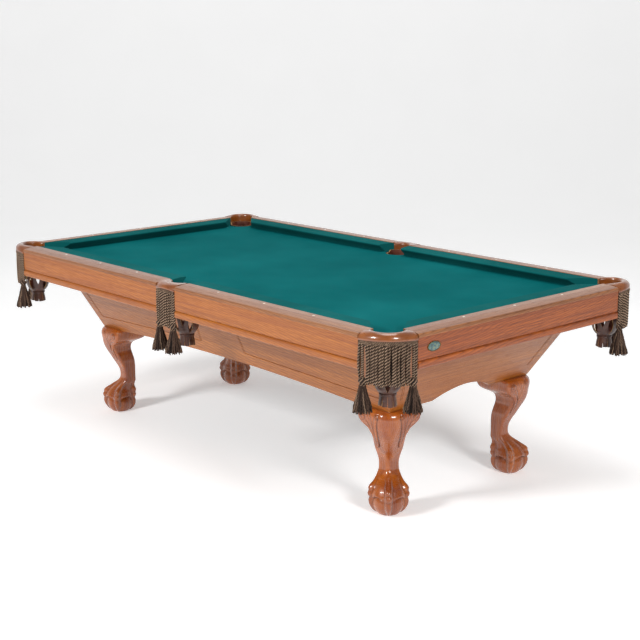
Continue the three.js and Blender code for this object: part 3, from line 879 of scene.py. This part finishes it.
def skirt(centre, top, bottom, neck, hem, seed):
    """Threads that hang from the neck in bundles, spread, and end unevenly, over a core painted
    nearly black as painted shade inside the skirt; the inner row of threads is painted darker as
    painted shade.
    """
    parts = []

    def spread(share):
        return 0.5 * share + 0.5 * np.sin(share * math.pi / 2) ** 1.5

    strands = 30
    for k in range(2 * strands):
        row = k % 2
        angle = 2 * math.pi * (k + 0.6 * wobble(seed + k)) / (2 * strands)
        r_end = hem * (0.97 - 0.14 * row + wobble(seed + 3 * k, 0.06))
        end = bottom + (1.5 + 8.0 * abs(wobble(seed + 5 * k))) * MM
        share = np.linspace(0, 1, 22)
        radius = neck + (r_end - neck) * spread(share) + 1.2 * MM * np.sin(share * 9 + k)
        lean = angle + wobble(seed + 7 * k, 0.16) * share + 0.05 * np.sin(share * 7 + 2 * k)
        path = np.stack([
            centre[0] + radius * np.cos(lean), centre[1] + radius * np.sin(lean),
            top + (end - top) * share,
        ], axis=-1)
        v, f, a = twisted(path, 3.0 * MM, 26 * MM, phase=k, sides=6)
        tone = 0.5 + 0.5 * wobble(seed + 11 * k)
        # the inner row is painted darker, as painted shade under the outer row; the tone varies at
        # random
        parts.append((v, f, (0.45 + 0.5 * tone) * (1 - 0.35 * row) * (0.7 + 0.3 * a)))
    # a core inside the threads, all crest 0 and so nearly black: painted shade inside the skirt
    rows = np.linspace(0, 1, 8)
    columns = 18
    core = []
    for s in rows:
        r = (neck + (hem - neck) * spread(s)) * 0.84
        for c in range(columns):
            a = 2 * math.pi * c / columns
            core.append((centre[0] + r * math.cos(a), centre[1] + r * math.sin(a),
                         top + (bottom + 10 * MM - top) * s))
    faces = [tuple(reversed(f)) for f in grid_faces(len(rows), columns)]
    faces.append(tuple(range(columns)))
    faces.append(tuple(reversed(range((len(rows) - 1) * columns, len(rows) * columns))))
    parts.append((np.array(core), faces, np.zeros(len(core))))
    return parts


def tassels(pocket):
    for number, along in ((1, pocket.tassel), (2, -pocket.tassel)):
        out = pocket.face(along) - 6.2 * MM
        at = pocket.world(np.float64(along), np.float64(out), 0.0)
        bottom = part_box(f"tassel_{pocket.places[0][0]}_{number}")[0][2]
        knot_z = bottom + 116 * MM
        parts = []
        share = np.linspace(0, 1, 80)
        path = np.stack([
            at[0] + 0 * share, at[1] + 0 * share, PIVOT_Z + 4 * MM + share * (knot_z - PIVOT_Z),
        ], axis=-1)
        parts.append(twisted(path, 6.2 * MM, 16 * MM, phase=number))
        parts.append(knot((at[0], at[1], knot_z), 14.5 * MM, 27 * MM))
        parts.append(knot((at[0], at[1], knot_z - 15 * MM), 11.5 * MM, 12 * MM))
        parts += skirt(
            (at[0], at[1]), knot_z - 14 * MM, bottom, 8.5 * MM, 34 * MM, seed=31 * number,
        )
        verts, faces, crest = join(parts)
        for place, sx, sy in pocket.places:
            v, f = flip(verts, faces, sx, sy)
            name = f"tassel_{place}_{number}"
            piece = make(
                f"threads_{name}", v, f, "cord", body=f"{place}_tassel_{number}",
                replaces=[name], crease=70,
            )
            add_values(piece, "crest", crest)


# ------------------------------------------------------------------ leather pockets


def bag_radius(z, top, radius):
    """The basket's outline: straight mouth, round bowl, gathered neck, flared skirt."""
    outline = [
        (-239, 33.5), (-225, 32), (-208, 29.5), (-198, 27.5), (-193, 27.5), (-188, 31), (-182, 38),
        (-171, 46), (-156, 51.5), (-138, radius / MM - 1.6), (-120, radius / MM - 1.2),
        (0, radius / MM - 1.2),
    ]
    heights = np.array([h for h, _ in outline]) * MM + top
    radii = np.array([r for _, r in outline]) * MM
    return np.interp(z, heights, radii)


def slit_width(z, boundary, top):
    """Half the angle, in radians, by which a slit opens at one strap boundary."""
    if boundary % 2 == 0:
        low, high, wide = top - 183 * MM, top - 112 * MM, 0.21
    else:
        low, high, wide = top - 150 * MM, top - 80 * MM, 0.19
    if z < top - 197 * MM:  # the skirt is cut into strips
        return 0.012 + 0.5 * (top - 197 * MM - z)
    if not low < z < high:
        return 0.0
    return wide * math.sin(math.pi * (z - low) / (high - low)) ** 0.8


def bag(pocket):
    """A basket cut from one sheet of leather, its slits pulled open into diamonds."""
    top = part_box("pocket_bag_head_right")[1][2]
    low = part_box("pocket_bag_head_right")[0][2]
    straps, across = 10, 4
    heights = np.concatenate([
        np.linspace(top, top - 78 * MM, 8), np.linspace(top - 81 * MM, top - 194 * MM, 40),
        np.linspace(top - 197 * MM, low, 12),
    ])
    thick = 3.4 * MM
    verts, faces, tags = [], [], []
    for s in range(straps):
        start = len(verts)
        for z in heights:
            left = 2 * math.pi * s / straps + slit_width(z, s, top)
            right = 2 * math.pi * (s + 1) / straps - slit_width(z, s + 1, top)
            r = bag_radius(z, top, pocket.radius)
            if z < top - 218 * MM:
                z = z + wobble(s + 17, 3.0 * MM) + 3.0 * MM
            for layer in range(2):
                for c in range(across + 1):
                    a = left + (right - left) * c / across
                    rr = r - layer * thick
                    verts.append((rr * math.sin(a), -rr * math.cos(a), z))
        row = 2 * (across + 1)
        for k in range(len(heights) - 1):
            base, below = start + k * row, start + (k + 1) * row
            for c in range(across):
                faces.append((base + c, below + c, below + c + 1, base + c + 1))
                tags.append(0)
                i, j = base + across + 1 + c, below + across + 1 + c
                faces.append((i, i + 1, j + 1, j))
                tags.append(2)
            for c, order in ((0, 1), (across, -1)):
                quad = (base + c, base + across + 1 + c, below + across + 1 + c, below + c)
                faces.append(quad[::order])
                tags.append(1)
        for k, order in ((0, 1), (len(heights) - 1, -1)):
            base = start + k * row
            for c in range(across):
                quad = (base + c, base + c + 1, base + across + 2 + c, base + across + 1 + c)
                faces.append(quad[::order])
                tags.append(1)
    verts = np.array(verts)
    # the mouth is cut lower at the front, where balls roll in off the bed
    front = (verts[:, 1] > 0.006) & (verts[:, 2] > top - 9.5 * MM)
    verts[front, 2] = top - 9.5 * MM
    verts = pocket.world(verts[:, 0], -verts[:, 1], verts[:, 2])
    seat = bowl(pocket, top)
    tie = neck_tie(pocket, top)
    for place, sx, sy in pocket.places:
        v, f = flip(verts, faces, sx, sy)
        name = f"pocket_bag_{place}"
        make(f"basket_{name}", v, f, ["leather", "edge", "lining"], replaces=[name],
             crease=60, indices=tags)
        v, f = flip(seat[0], seat[1], sx, sy)
        make(f"seat_{name}", v, f, "lining")
        v, f = flip(tie[0], tie[1], sx, sy)
        make(f"tie_{name}", v, f, "leather", crease=70)


def bowl(pocket, top):
    """The dished seat at the bottom of the basket, where the balls rest."""
    columns = 32
    heights = (-179, -180.5, -182, -183, -183.6, -189, -188)
    radii = (33, 27, 19, 9, 2, 2, 26)
    rows = [
        [(r * MM * math.sin(2 * math.pi * c / columns),
          r * MM * math.cos(2 * math.pi * c / columns),
          top + h * MM) for c in range(columns)] for h, r in zip(heights, radii)
    ]
    points = np.array(rows).reshape(-1, 3)
    verts = pocket.world(points[:, 0], points[:, 1], points[:, 2])
    faces = grid_faces(len(rows), columns)
    faces += [
        ((len(rows) - 1) * columns + c, (len(rows) - 1) * columns + (c + 1) % columns,
         (c + 1) % columns, c) for c in range(columns)
    ]
    return verts, faces


def neck_tie(pocket, top):
    """A leather lace wound round the gathered neck."""
    share = np.linspace(0, 1, 90)
    angle = share * 2 * math.pi * 2.9
    r = 29.4 * MM
    z = top - 192 * MM - share * 6 * MM
    path = pocket.world(r * np.sin(angle), r * np.cos(angle), z)
    verts, faces, _ = twisted(path, 2.0 * MM, 0.5, sides=8, plies=0)
    return verts, faces


# ------------------------------------------------------------------ cabinet

GROOVE_WIDE = 4.2 * MM
GROOVE_DEEP = 2.6 * MM


def panel_mesh(half_low, half_high, arch_half, arch_rise, grooves):
    """A flat panel drawn square on, (across, up) with depth, its bottom edge arched, and with
    V-grooves cut into its face by a boolean."""
    height = CAB_TOP - CAB_LOW
    steps = 48
    low_edge = [(-half_low, 0.0)]
    for k in range(steps + 1):
        x = arch_half * (2 * k / steps - 1)
        low_edge.append((x, arch_rise * (1 - (x / arch_half) ** 2)))
    low_edge.append((half_low, 0.0))
    outline = low_edge + [(half_high, height), (-half_high, height)]
    count = len(outline)
    verts = [(x, 0.0, z) for x, z in outline] + [(x, BOARD, z) for x, z in outline]
    faces = [tuple(range(count)), tuple(reversed(range(count, 2 * count)))]
    faces += [((k + 1) % count, k, count + k, count + (k + 1) % count) for k in range(count)]
    cutters, cut_faces = [], []
    for (x0, z0), (x1, z1) in grooves:
        start = len(cutters)
        run = np.array([x1 - x0, z1 - z0])
        run /= np.linalg.norm(run)
        normal = np.array([-run[1], run[0]]) * GROOVE_WIDE / 2
        for x, z in ((x0, z0), (x1, z1)):
            cutters += [
                (x - normal[0], -1 * MM, z - normal[1]), (x + normal[0], -1 * MM, z + normal[1]),
                (x + normal[0] * 0.3, GROOVE_DEEP, z + normal[1] * 0.3),
                (x - normal[0] * 0.3, GROOVE_DEEP, z - normal[1] * 0.3),
            ]
        s = start
        cut_faces += [
            (s, s + 1, s + 2, s + 3), (s + 7, s + 6, s + 5, s + 4), (s + 1, s, s + 4, s + 5),
            (s + 2, s + 1, s + 5, s + 6), (s + 3, s + 2, s + 6, s + 7), (s, s + 3, s + 7, s + 4),
        ]
    return cut(verts, faces, cutters, cut_faces)


def cut(verts, faces, cutters, cut_faces):
    """Cuts one closed mesh by another and returns the result's vertices and faces."""
    objects = []
    for name, v, f in (("_body", verts, faces), ("_cutter", cutters, cut_faces)):
        mesh = bpy.data.meshes.new(name)
        mesh.from_pydata(v, [], f)
        mesh.update()
        thing = bpy.data.objects.new(name, mesh)
        bpy.context.scene.collection.objects.link(thing)
        objects.append(thing)
    body, cutter = objects
    modifier = body.modifiers.new("cut", "BOOLEAN")
    modifier.operation = "DIFFERENCE"
    modifier.solver = "EXACT"
    modifier.use_self = True
    modifier.object = cutter
    view = bpy.context.evaluated_depsgraph_get()
    result = body.evaluated_get(view).to_mesh()
    out = np.array([tuple(v.co) for v in result.vertices])
    out_faces = [tuple(p.vertices) for p in result.polygons]
    for thing in objects:
        mesh = thing.data
        bpy.data.objects.remove(thing)
        bpy.data.meshes.remove(mesh)
    return out, out_faces


def double(line, gap=8 * MM):
    """Two parallel lines for one."""
    (x0, z0), (x1, z1) = line
    run = np.array([x1 - x0, z1 - z0])
    run /= np.linalg.norm(run)
    shift = np.array([-run[1], run[0]]) * gap
    return [line, ((x0 + shift[0], z0 + shift[1]), (x1 + shift[0], z1 + shift[1]))]


def cabinet():
    height = CAB_TOP - CAB_LOW
    high_x, _ = CAB_X + LEAN_X * height, CAB_Y - BOARD + LEAN_Y * height
    inset, foot = 58 * MM, 52 * MM
    long_grooves = []
    for sign in (-1, 1):
        low_out = (sign * (CAB_X - inset + LEAN_X * foot), foot)
        high_out = (sign * (high_x - inset), height - 2 * MM)
        low_in = (sign * 150 * MM, foot + 27 * MM)
        high_in = (sign * 120 * MM, height - 2 * MM)
        long_grooves += double((low_out, high_out))
        long_grooves += double((low_in, high_in))
        long_grooves += [(low_out, low_in)]
    verts, faces = panel_mesh(CAB_X, high_x, 800 * MM, 27 * MM, long_grooves)
    for side_name, sy in (("right", 1), ("left", -1)):
        placed = np.stack([
            verts[:, 0], -CAB_Y + verts[:, 1] - LEAN_Y * verts[:, 2], CAB_LOW + verts[:, 2],
        ], axis=-1)
        v, f = flip(placed, faces, 1, sy)
        name = f"cabinet_panel_{side_name}"
        make(f"oak_{name}", v, f, "cabinet_x", replaces=[name], crease=25)
    half_low = CAB_Y - BOARD - 0.3 * MM
    half_high = half_low + LEAN_Y * height
    end_grooves = []
    for sign in (-1, 1):
        low_out = (sign * (half_low - 34 * MM + LEAN_Y * foot), foot)
        high_out = (sign * (half_high - 34 * MM), height - 2 * MM)
        end_grooves += double((low_out, high_out))
    verts, faces = panel_mesh(half_low, half_high, 165 * MM, 44 * MM, end_grooves)
    for end_name, sx in (("head", 1), ("foot", -1)):
        placed = np.stack([
            CAB_X - verts[:, 1] + LEAN_X * verts[:, 2], verts[:, 0], CAB_LOW + verts[:, 2],
        ], axis=-1)
        v, f = flip(placed, faces, sx, 1)
        name = f"cabinet_panel_{end_name}"
        make(f"oak_{name}", v, f, "cabinet_y", replaces=[name], crease=25)


# ------------------------------------------------------------------ carved legs

# (height, outer offset, inner offset) in millimetres: both offsets are from the cabinet's bottom
# corner, outwards along X and along Y alike.
LEG_PROFILE = [
    (414.2, 14, -150), (405, 22, -151), (394, 26, -151), (382, 27, -150), (368, 25, -145),
    (356, 22, -133), (345, 19, -113), (335, 15.5, -99), (320, 11, -92.5), (300, 3, -92),
    (275, -9, -97), (250, -20.5, -101.5), (228, -31.5, -103), (208, -39.5, -103), (190, -43, -103),
    (175, -43, -103), (160, -41, -103), (147, -34, -103), (134, -18, -103), (121, -3, -103),
    (108, 8, -103), (94, 13.5, -103), (76, 15.5, -101.5), (55, 14, -100), (36, 9, -97),
    (18, 0, -90), (6, -8, -82), (0, -14, -76),
]


def smooth_step(low, high, value):
    t = np.clip((value - low) / (high - low), 0, 1)
    return t * t * (3 - 2 * t)


def ridge(distance, half_width):
    """1 on a line and 0 from half_width away, with a rounded top."""
    t = np.clip(1 - np.abs(distance) / half_width, 0, 1)
    return t * t * (3 - 2 * t)


def line_distance(x, z, points):
    """Distance from each (x, z) to a smooth line through points, and the share run along it."""
    line = catmull(points, 28)
    best = np.full(x.shape, 1e9)
    where = np.zeros(x.shape)
    for k in range(len(line) - 1):
        a, b = line[k], line[k + 1]
        ab = b - a
        t = np.clip(((x - a[0]) * ab[0] + (z - a[1]) * ab[1]) / (ab @ ab), 0, 1)
        d = np.hypot(x - a[0] - t * ab[0], z - a[1] - t * ab[1])
        closer = d < best
        best = np.where(closer, d, best)
        where = np.where(closer, (k + t) / (len(line) - 1), where)
    return best, where


def knee_relief(t, z):
    """Carving on the two outer faces: t is the distance round from the outer corner. Returns the
    height of the relief in millimetres and how deep in a groove each point is, from 0 to 1."""
    height = np.zeros(t.shape)
    groove = np.zeros(t.shape)

    def carve(points, width, depth, taper=True):
        nonlocal height, groove
        d, share = line_distance(t, z, points)
        strength = np.clip(np.minimum(share, 1 - share) * 6 + 0.25, 0, 1) if taper else 1.0
        cut_in = ridge(d, width) * strength
        height = height - depth * cut_in
        groove = np.maximum(groove, cut_in * min(1.0, depth / 3.0))

    def raise_up(points, width, lift):
        nonlocal height
        d, share = line_distance(t, z, points)
        end_fade = np.clip(np.minimum(share, 1 - share) * 5 + 0.3, 0, 1)
        height = height + lift * ridge(d, width) * end_fade

    # the leaf strip stands proud of the face beside the smooth middle
    edge = np.interp(z, [255, 262, 300, 350, 395], [52, 50, 56, 64, 60])
    outer = np.interp(z, [255, 262, 280, 300, 320, 340], [56, 66, 74, 84, 96, 200])
    inside = smooth_step(edge - 2, edge + 3, t) * smooth_step(outer + 3, outer - 3, t)
    inside = inside * smooth_step(254, 262, z)
    height = height + 3.0 * inside
    carve([(60, 404), (63, 380), (65, 350), (58, 305), (50, 272), (54, 256)], 4.0, 3.4)
    carve([(54, 256), (64, 258), (72, 276), (84, 300), (97, 322)], 3.6, 2.6)
    carve([(58, 268), (68, 300), (80, 335), (92, 370), (98, 402)], 3.0, 2.6)
    carve([(64, 285), (80, 318), (100, 350), (124, 376)], 3.0, 2.4)
    carve([(74, 312), (92, 335), (112, 350), (134, 356)], 2.8, 2.0)
    carve([(76, 340), (82, 370), (78, 398)], 2.6, 2.0)
    carve([(98, 372), (108, 388), (112, 404)], 2.6, 2.0)
    raise_up([(60, 275), (74, 312), (88, 350), (96, 390)], 5.0, 1.8)
    raise_up([(80, 322), (104, 352), (128, 372)], 5.0, 1.6)
    # scrolls: a large one at the top outer corner and a small one beside the middle
    for cx, cz, size in ((140, 384, 15), (67, 393, 9)):
        d = np.hypot(t - cx, z - cz)
        swirl = np.arctan2(z - cz, t - cx)
        turn = d / size * 2.2 * math.pi - swirl
        disc = smooth_step(size + 1.5, size - 1.5, d)
        height = height + 2.6 * disc * (0.6 + 0.4 * np.cos(turn))
        groove = np.maximum(groove, disc * np.clip(-np.cos(turn), 0, 1) * 0.8)
        ring = ridge(d - size, 2.6)
        height = height - 2.2 * ring
        groove = np.maximum(groove, ring * 0.7)
    return height, groove


def leg_mesh():
    """Rows of a radius round a moving centre: a rounded square that becomes a ball and claw."""
    around, rows = 240, 210
    curve = catmull(LEG_PROFILE[::-1], 1200)
    run = np.concatenate([[0], np.cumsum(np.linalg.norm(np.diff(curve, axis=0), axis=1))])
    even = np.linspace(0, run[-1], rows)
    z = np.interp(even, run, curve[:, 0])
    outer = np.interp(even, run, curve[:, 1])
    inner = np.interp(even, run, curve[:, 2])
    z, outer, inner = z[:, None], outer[:, None], inner[:, None]
    middle, half = (outer + inner) / 2, (outer - inner) / 2
    phi = 2 * math.pi * np.arange(around)[None, :] / around  # 45 degrees is the outer corner
    off = np.abs((phi - math.pi / 4 + math.pi) % (2 * math.pi) - math.pi)
    soft = smooth_step(math.radians(52), math.radians(8), off)
    knee = smooth_step(170, 260, z)
    power = 9 - (3.5 + 2.3 * knee) * soft - 2.5 * (1 - knee)
    square = half / (np.abs(np.cos(phi)) ** power + np.abs(np.sin(phi)) ** power) ** (1 / power)

    # foot: four toes at the corners over a ball
    toe_off = np.degrees(np.abs((phi - math.pi / 4 + math.pi / 4) % (math.pi / 2) - math.pi / 4))
    toe = np.interp(
        z,
        [0, 4, 12, 24, 34, 42, 50, 58, 63, 70, 78, 86, 92, 99, 108, 122, 140, 160, 185],
        [45, 54, 63, 71, 75.5, 77, 78, 75.5, 74, 79.5, 81.5, 78, 77.5, 79, 74, 60, 47, 41, 39],
    )
    toe_wide = np.interp(z, [0, 10, 30, 60, 90, 130, 185], [5, 7, 10.5, 12, 11.5, 13, 20])
    claw = toe * (1 - 0.16 * (toe_off / toe_wide) ** 2)
    claw = np.where(toe_off > 2.2 * toe_wide, 0, claw)
    ball = 60 * np.sqrt(np.clip(1 - ((z - 40) / 56) ** 2, 0.0, 1))
    eyelid = 56 + 17 * np.cos(np.radians(np.clip((45 - toe_off) * 2.2, 0, 90)))
    web = np.interp(z, [40, 62, 80, 96, 112, 130, 150, 185], [62, 65, 63, 58, 50, 41, 35, 31])
    covered = smooth_step(eyelid - 1.6, eyelid + 1.6, z)
    between = ball * (1 - covered) + np.maximum(ball, web) * covered
    sharp = 5.0
    foot = np.log(np.exp(claw / sharp) + np.exp(between / sharp)) * sharp - 0.6
    is_foot = smooth_step(172, 128, z)
    radius = square * (1 - is_foot) + foot * is_foot
    foot_groove = ridge(z - eyelid, 4.5) * smooth_step(14, 24, toe_off) * smooth_step(110, 90, z)
    crease = ridge(claw - between, 5.0) * is_foot * smooth_step(150, 120, z)
    for knuckle in (61, 91):
        crease = np.maximum(crease, ridge(z - knuckle, 2.4) * smooth_step(11, 7, toe_off) * 0.8)

    a = middle + radius * np.cos(phi)
    b = middle + radius * np.sin(phi)
    on_face = smooth_step(-2, 6, np.maximum(a, b) - (outer - 12))
    t = outer - np.minimum(a, b)
    relief, knee_groove = knee_relief(t, z + 0 * t)
    on_knee = on_face * smooth_step(248, 262, z)
    radius = radius + relief * on_knee
    # groove darkens the leg's colour there: partly stain in the cuts, partly painted shade
    groove = np.maximum(knee_groove * on_knee, np.maximum(foot_groove, crease) * 0.8)
    a = middle + radius * np.cos(phi)
    b = middle + radius * np.sin(phi)
    x = CAB_X + a * MM
    y = -(CAB_Y + b * MM)
    verts = np.stack([x, y, z * MM + 0 * x], axis=-1).reshape(-1, 3)
    faces = grid_faces(rows, around)
    faces = [tuple(reversed(f)) for f in faces]
    faces.append(tuple(range(around)))
    faces.append(tuple(reversed(range((rows - 1) * around, rows * around))))
    return verts, faces, groove.reshape(-1)


def legs():
    verts, faces, groove = leg_mesh()
    for place, sx, sy in QUARTERS:
        v, f = flip(verts, faces, sx, sy)
        name = f"leg_{place}"
        piece = make(f"carved_{name}", v, f, "leg", replaces=[name], crease=60)
        add_values(piece, "groove", groove)


# ------------------------------------------------------------------ bed and badge


def bed():
    """The stretched cloth, in the CAD cloth's outline."""
    source = frame["nodes"]["bed_cloth"].data
    verts = np.array([tuple(v.co) for v in source.vertices])
    faces = [tuple(p.vertices) for p in source.polygons]
    piece = make(
        "cloth_bed", verts, faces, "cloth", replaces=["bed_cloth"], crease=30,
    )


def badge():
    """A plain oval badge: a metal rim round domed enamel."""
    low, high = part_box("name_plate")
    middle = (low + high) / 2
    wide, tall = (high.y - low.y) / 2, (high.z - low.z) / 2
    columns = 64
    for name, key, rings in (
        (
            "badge_rim_piece", "rim",
            [(1.0, 0.0), (1.0, 1.4), (0.97, 2.0), (0.9, 2.0), (0.87, 1.4), (0.87, 0.2)],
        ),
        (
            "badge_enamel_piece", "enamel",
            [(0.865, 0.2), (0.865, 1.2), (0.7, 1.6), (0.4, 1.85), (0.05, 1.95)],
        ),
    ):
        verts = []
        for scale, proud in rings:
            for c in range(columns):
                a = 2 * math.pi * c / columns
                verts.append((low.x + proud * MM, middle.y + wide * scale * math.cos(a),
                              middle.z + tall * scale * math.sin(a)))
        faces = grid_faces(len(rings), columns)
        if key == "rim":
            last = (len(rings) - 1) * columns
            faces += [
                (last + c, last + (c + 1) % columns, (c + 1) % columns, c) for c in range(columns)
            ]
        else:
            faces.append(tuple(range((len(rings) - 1) * columns, len(rings) * columns)))
            faces.append(tuple(reversed(range(columns))))
        replaced = ["name_plate"] if key == "rim" else []
        make(name, verts, faces, key, replaces=replaced, crease=50)


def rail_sights():
    """Three small pearl dots let into each length of rail, flush but for a slight dome."""
    inset, radius, columns = 57 * MM, 5 * MM, 20
    spacing = 279.4 * MM
    middles = [
        (k * spacing, y) for k in (-3, -2, -1, 1, 2, 3) for y in (inset - HALF_W, HALF_W - inset)
    ]
    middles += [(x, k * spacing) for k in (-1, 0, 1) for x in (inset - HALF_L, HALF_L - inset)]
    rings = [(1.0, -0.2), (1.0, 0.25), (0.75, 0.5), (0.35, 0.6)]
    parts = []
    for x, y in middles:
        verts = np.array([
            (x + radius * share * math.cos(2 * math.pi * c / columns),
             y + radius * share * math.sin(2 * math.pi * c / columns), RAIL_TOP + up * MM)
            for share, up in rings for c in range(columns)
        ])
        faces = grid_faces(len(rings), columns)
        faces.append(tuple(range((len(rings) - 1) * columns, len(rings) * columns)))
        faces.append(tuple(reversed(range(columns))))
        parts.append((verts, faces, np.zeros(len(verts))))
    verts, faces, _ = join(parts)
    make("pearl_rail_sights", verts, faces, "pearl", crease=50)


def carried_over():
    """CAD nodes that keep their shape and only get a better material."""
    for name, key in (("slate_bed", "slate"), ("centre_beam", "cabinet_y")):
        data = frame["nodes"][name].data
        data.materials.clear()
        data.materials.append(M[key])


# ------------------------------------------------------------------ camera, lights and floor


CAMERA_AZIMUTH = 48.17


def camera():
    azimuth, elevation, roll = (math.radians(a) for a in (CAMERA_AZIMUTH, 13.11, -0.243))
    data = bpy.data.cameras.new("camera")
    data.sensor_width = 36
    data.lens = 74.87
    data.clip_start, data.clip_end = 0.05, 60
    thing = bpy.data.objects.new("camera", data)
    bpy.context.scene.collection.objects.link(thing)
    right = Vector((math.cos(azimuth), math.sin(azimuth), 0))
    back = Vector((
        math.sin(azimuth) * math.cos(elevation), -math.cos(azimuth) * math.cos(elevation),
        math.sin(elevation),
    ))
    up = back.cross(right)
    turned_right = right * math.cos(roll) + up * math.sin(roll)
    turned_up = up * math.cos(roll) - right * math.sin(roll)
    matrix = Matrix((turned_right, turned_up, back)).transposed().to_4x4()
    matrix.translation = Vector((4.3238, -3.7483, 1.8743))
    thing.matrix_world = matrix
    bpy.context.scene.camera = thing


def area_light(name, place, target, size, power, colour=(1, 1, 1)):
    data = bpy.data.lights.new(name, "AREA")
    data.shape = "RECTANGLE"
    data.size, data.size_y = size
    data.energy = power
    data.color = colour
    thing = bpy.data.objects.new(name, data)
    bpy.context.scene.collection.objects.link(thing)
    thing.location = place
    thing.rotation_mode = "QUATERNION"
    thing.rotation_quaternion = (Vector(target) - Vector(place)).to_track_quat("-Z", "Y")


def studio():
    scene = bpy.context.scene
    scene.view_settings.view_transform = "Standard"
    world = bpy.data.worlds.new("studio")
    world.use_nodes = True
    world.node_tree.nodes["Background"].inputs["Color"].default_value = (1, 1, 1, 1)
    world.node_tree.nodes["Background"].inputs["Strength"].default_value = 0.3
    scene.world = world
    area_light("key", (-0.4, -5.0, 3.2), (0.1, -0.4, 0.5), (1.1, 1.1), 190)
    area_light("key_right", (5.2, -1.2, 3.0), (0.6, 0, 0.5), (1.1, 1.1), 130)
    area_light("top", (0.2, 0.3, 4.4), (0, 0, 0.7), (3.0, 2.0), 75)
    backdrop()


def backdrop():
    """One pale sheet: a floor that curves up into a wall well behind the table."""
    reach, bend = 9.0, 3.0
    profile = [(-reach, 0.0)]
    profile += [
        (reach - bend + bend * math.sin(t), bend - bend * math.cos(t))
        for t in np.radians(np.linspace(0, 90, 16))
    ]
    profile.append((reach, 9.0))
    away = (-math.sin(math.radians(CAMERA_AZIMUTH)), math.cos(math.radians(CAMERA_AZIMUTH)))
    verts = [
        (away[0] * d - away[1] * s, away[1] * d + away[0] * s, z)
        for d, z in profile for s in (-3 * reach, 3 * reach)
    ]
    faces = [(2 * k, 2 * k + 1, 2 * k + 3, 2 * k + 2) for k in range(len(profile) - 1)]
    mesh = bpy.data.meshes.new("backdrop")
    mesh.from_pydata(verts, [], faces)
    mesh.polygons.foreach_set("use_smooth", [True] * len(faces))
    n = Nodes("backdrop")
    cloud = n.noise(n.coords(), 2.0)
    mesh.materials.append(n.finish(
        n.ramp(cloud, (0.3, 0.93), (0.7, 0.95)), 0.95, Specular_IOR_Level=0.0,
        Emission_Color=(1, 1, 1, 1), Emission_Strength=0.3,
    ))
    sheet = bpy.data.objects.new("backdrop", mesh)
    sheet.location.z = cad_box[0][2] - 0.0005
    bpy.context.scene.collection.objects.link(sheet)


camera()
studio()
carried_over()
bed()
rails()
aprons()
cushions()
cabinet()
legs()
for each_pocket in (corner, side):
    iron(each_pocket)
    fringe(each_pocket)
    tassels(each_pocket)
    bag(each_pocket)
badge()
rail_sights()
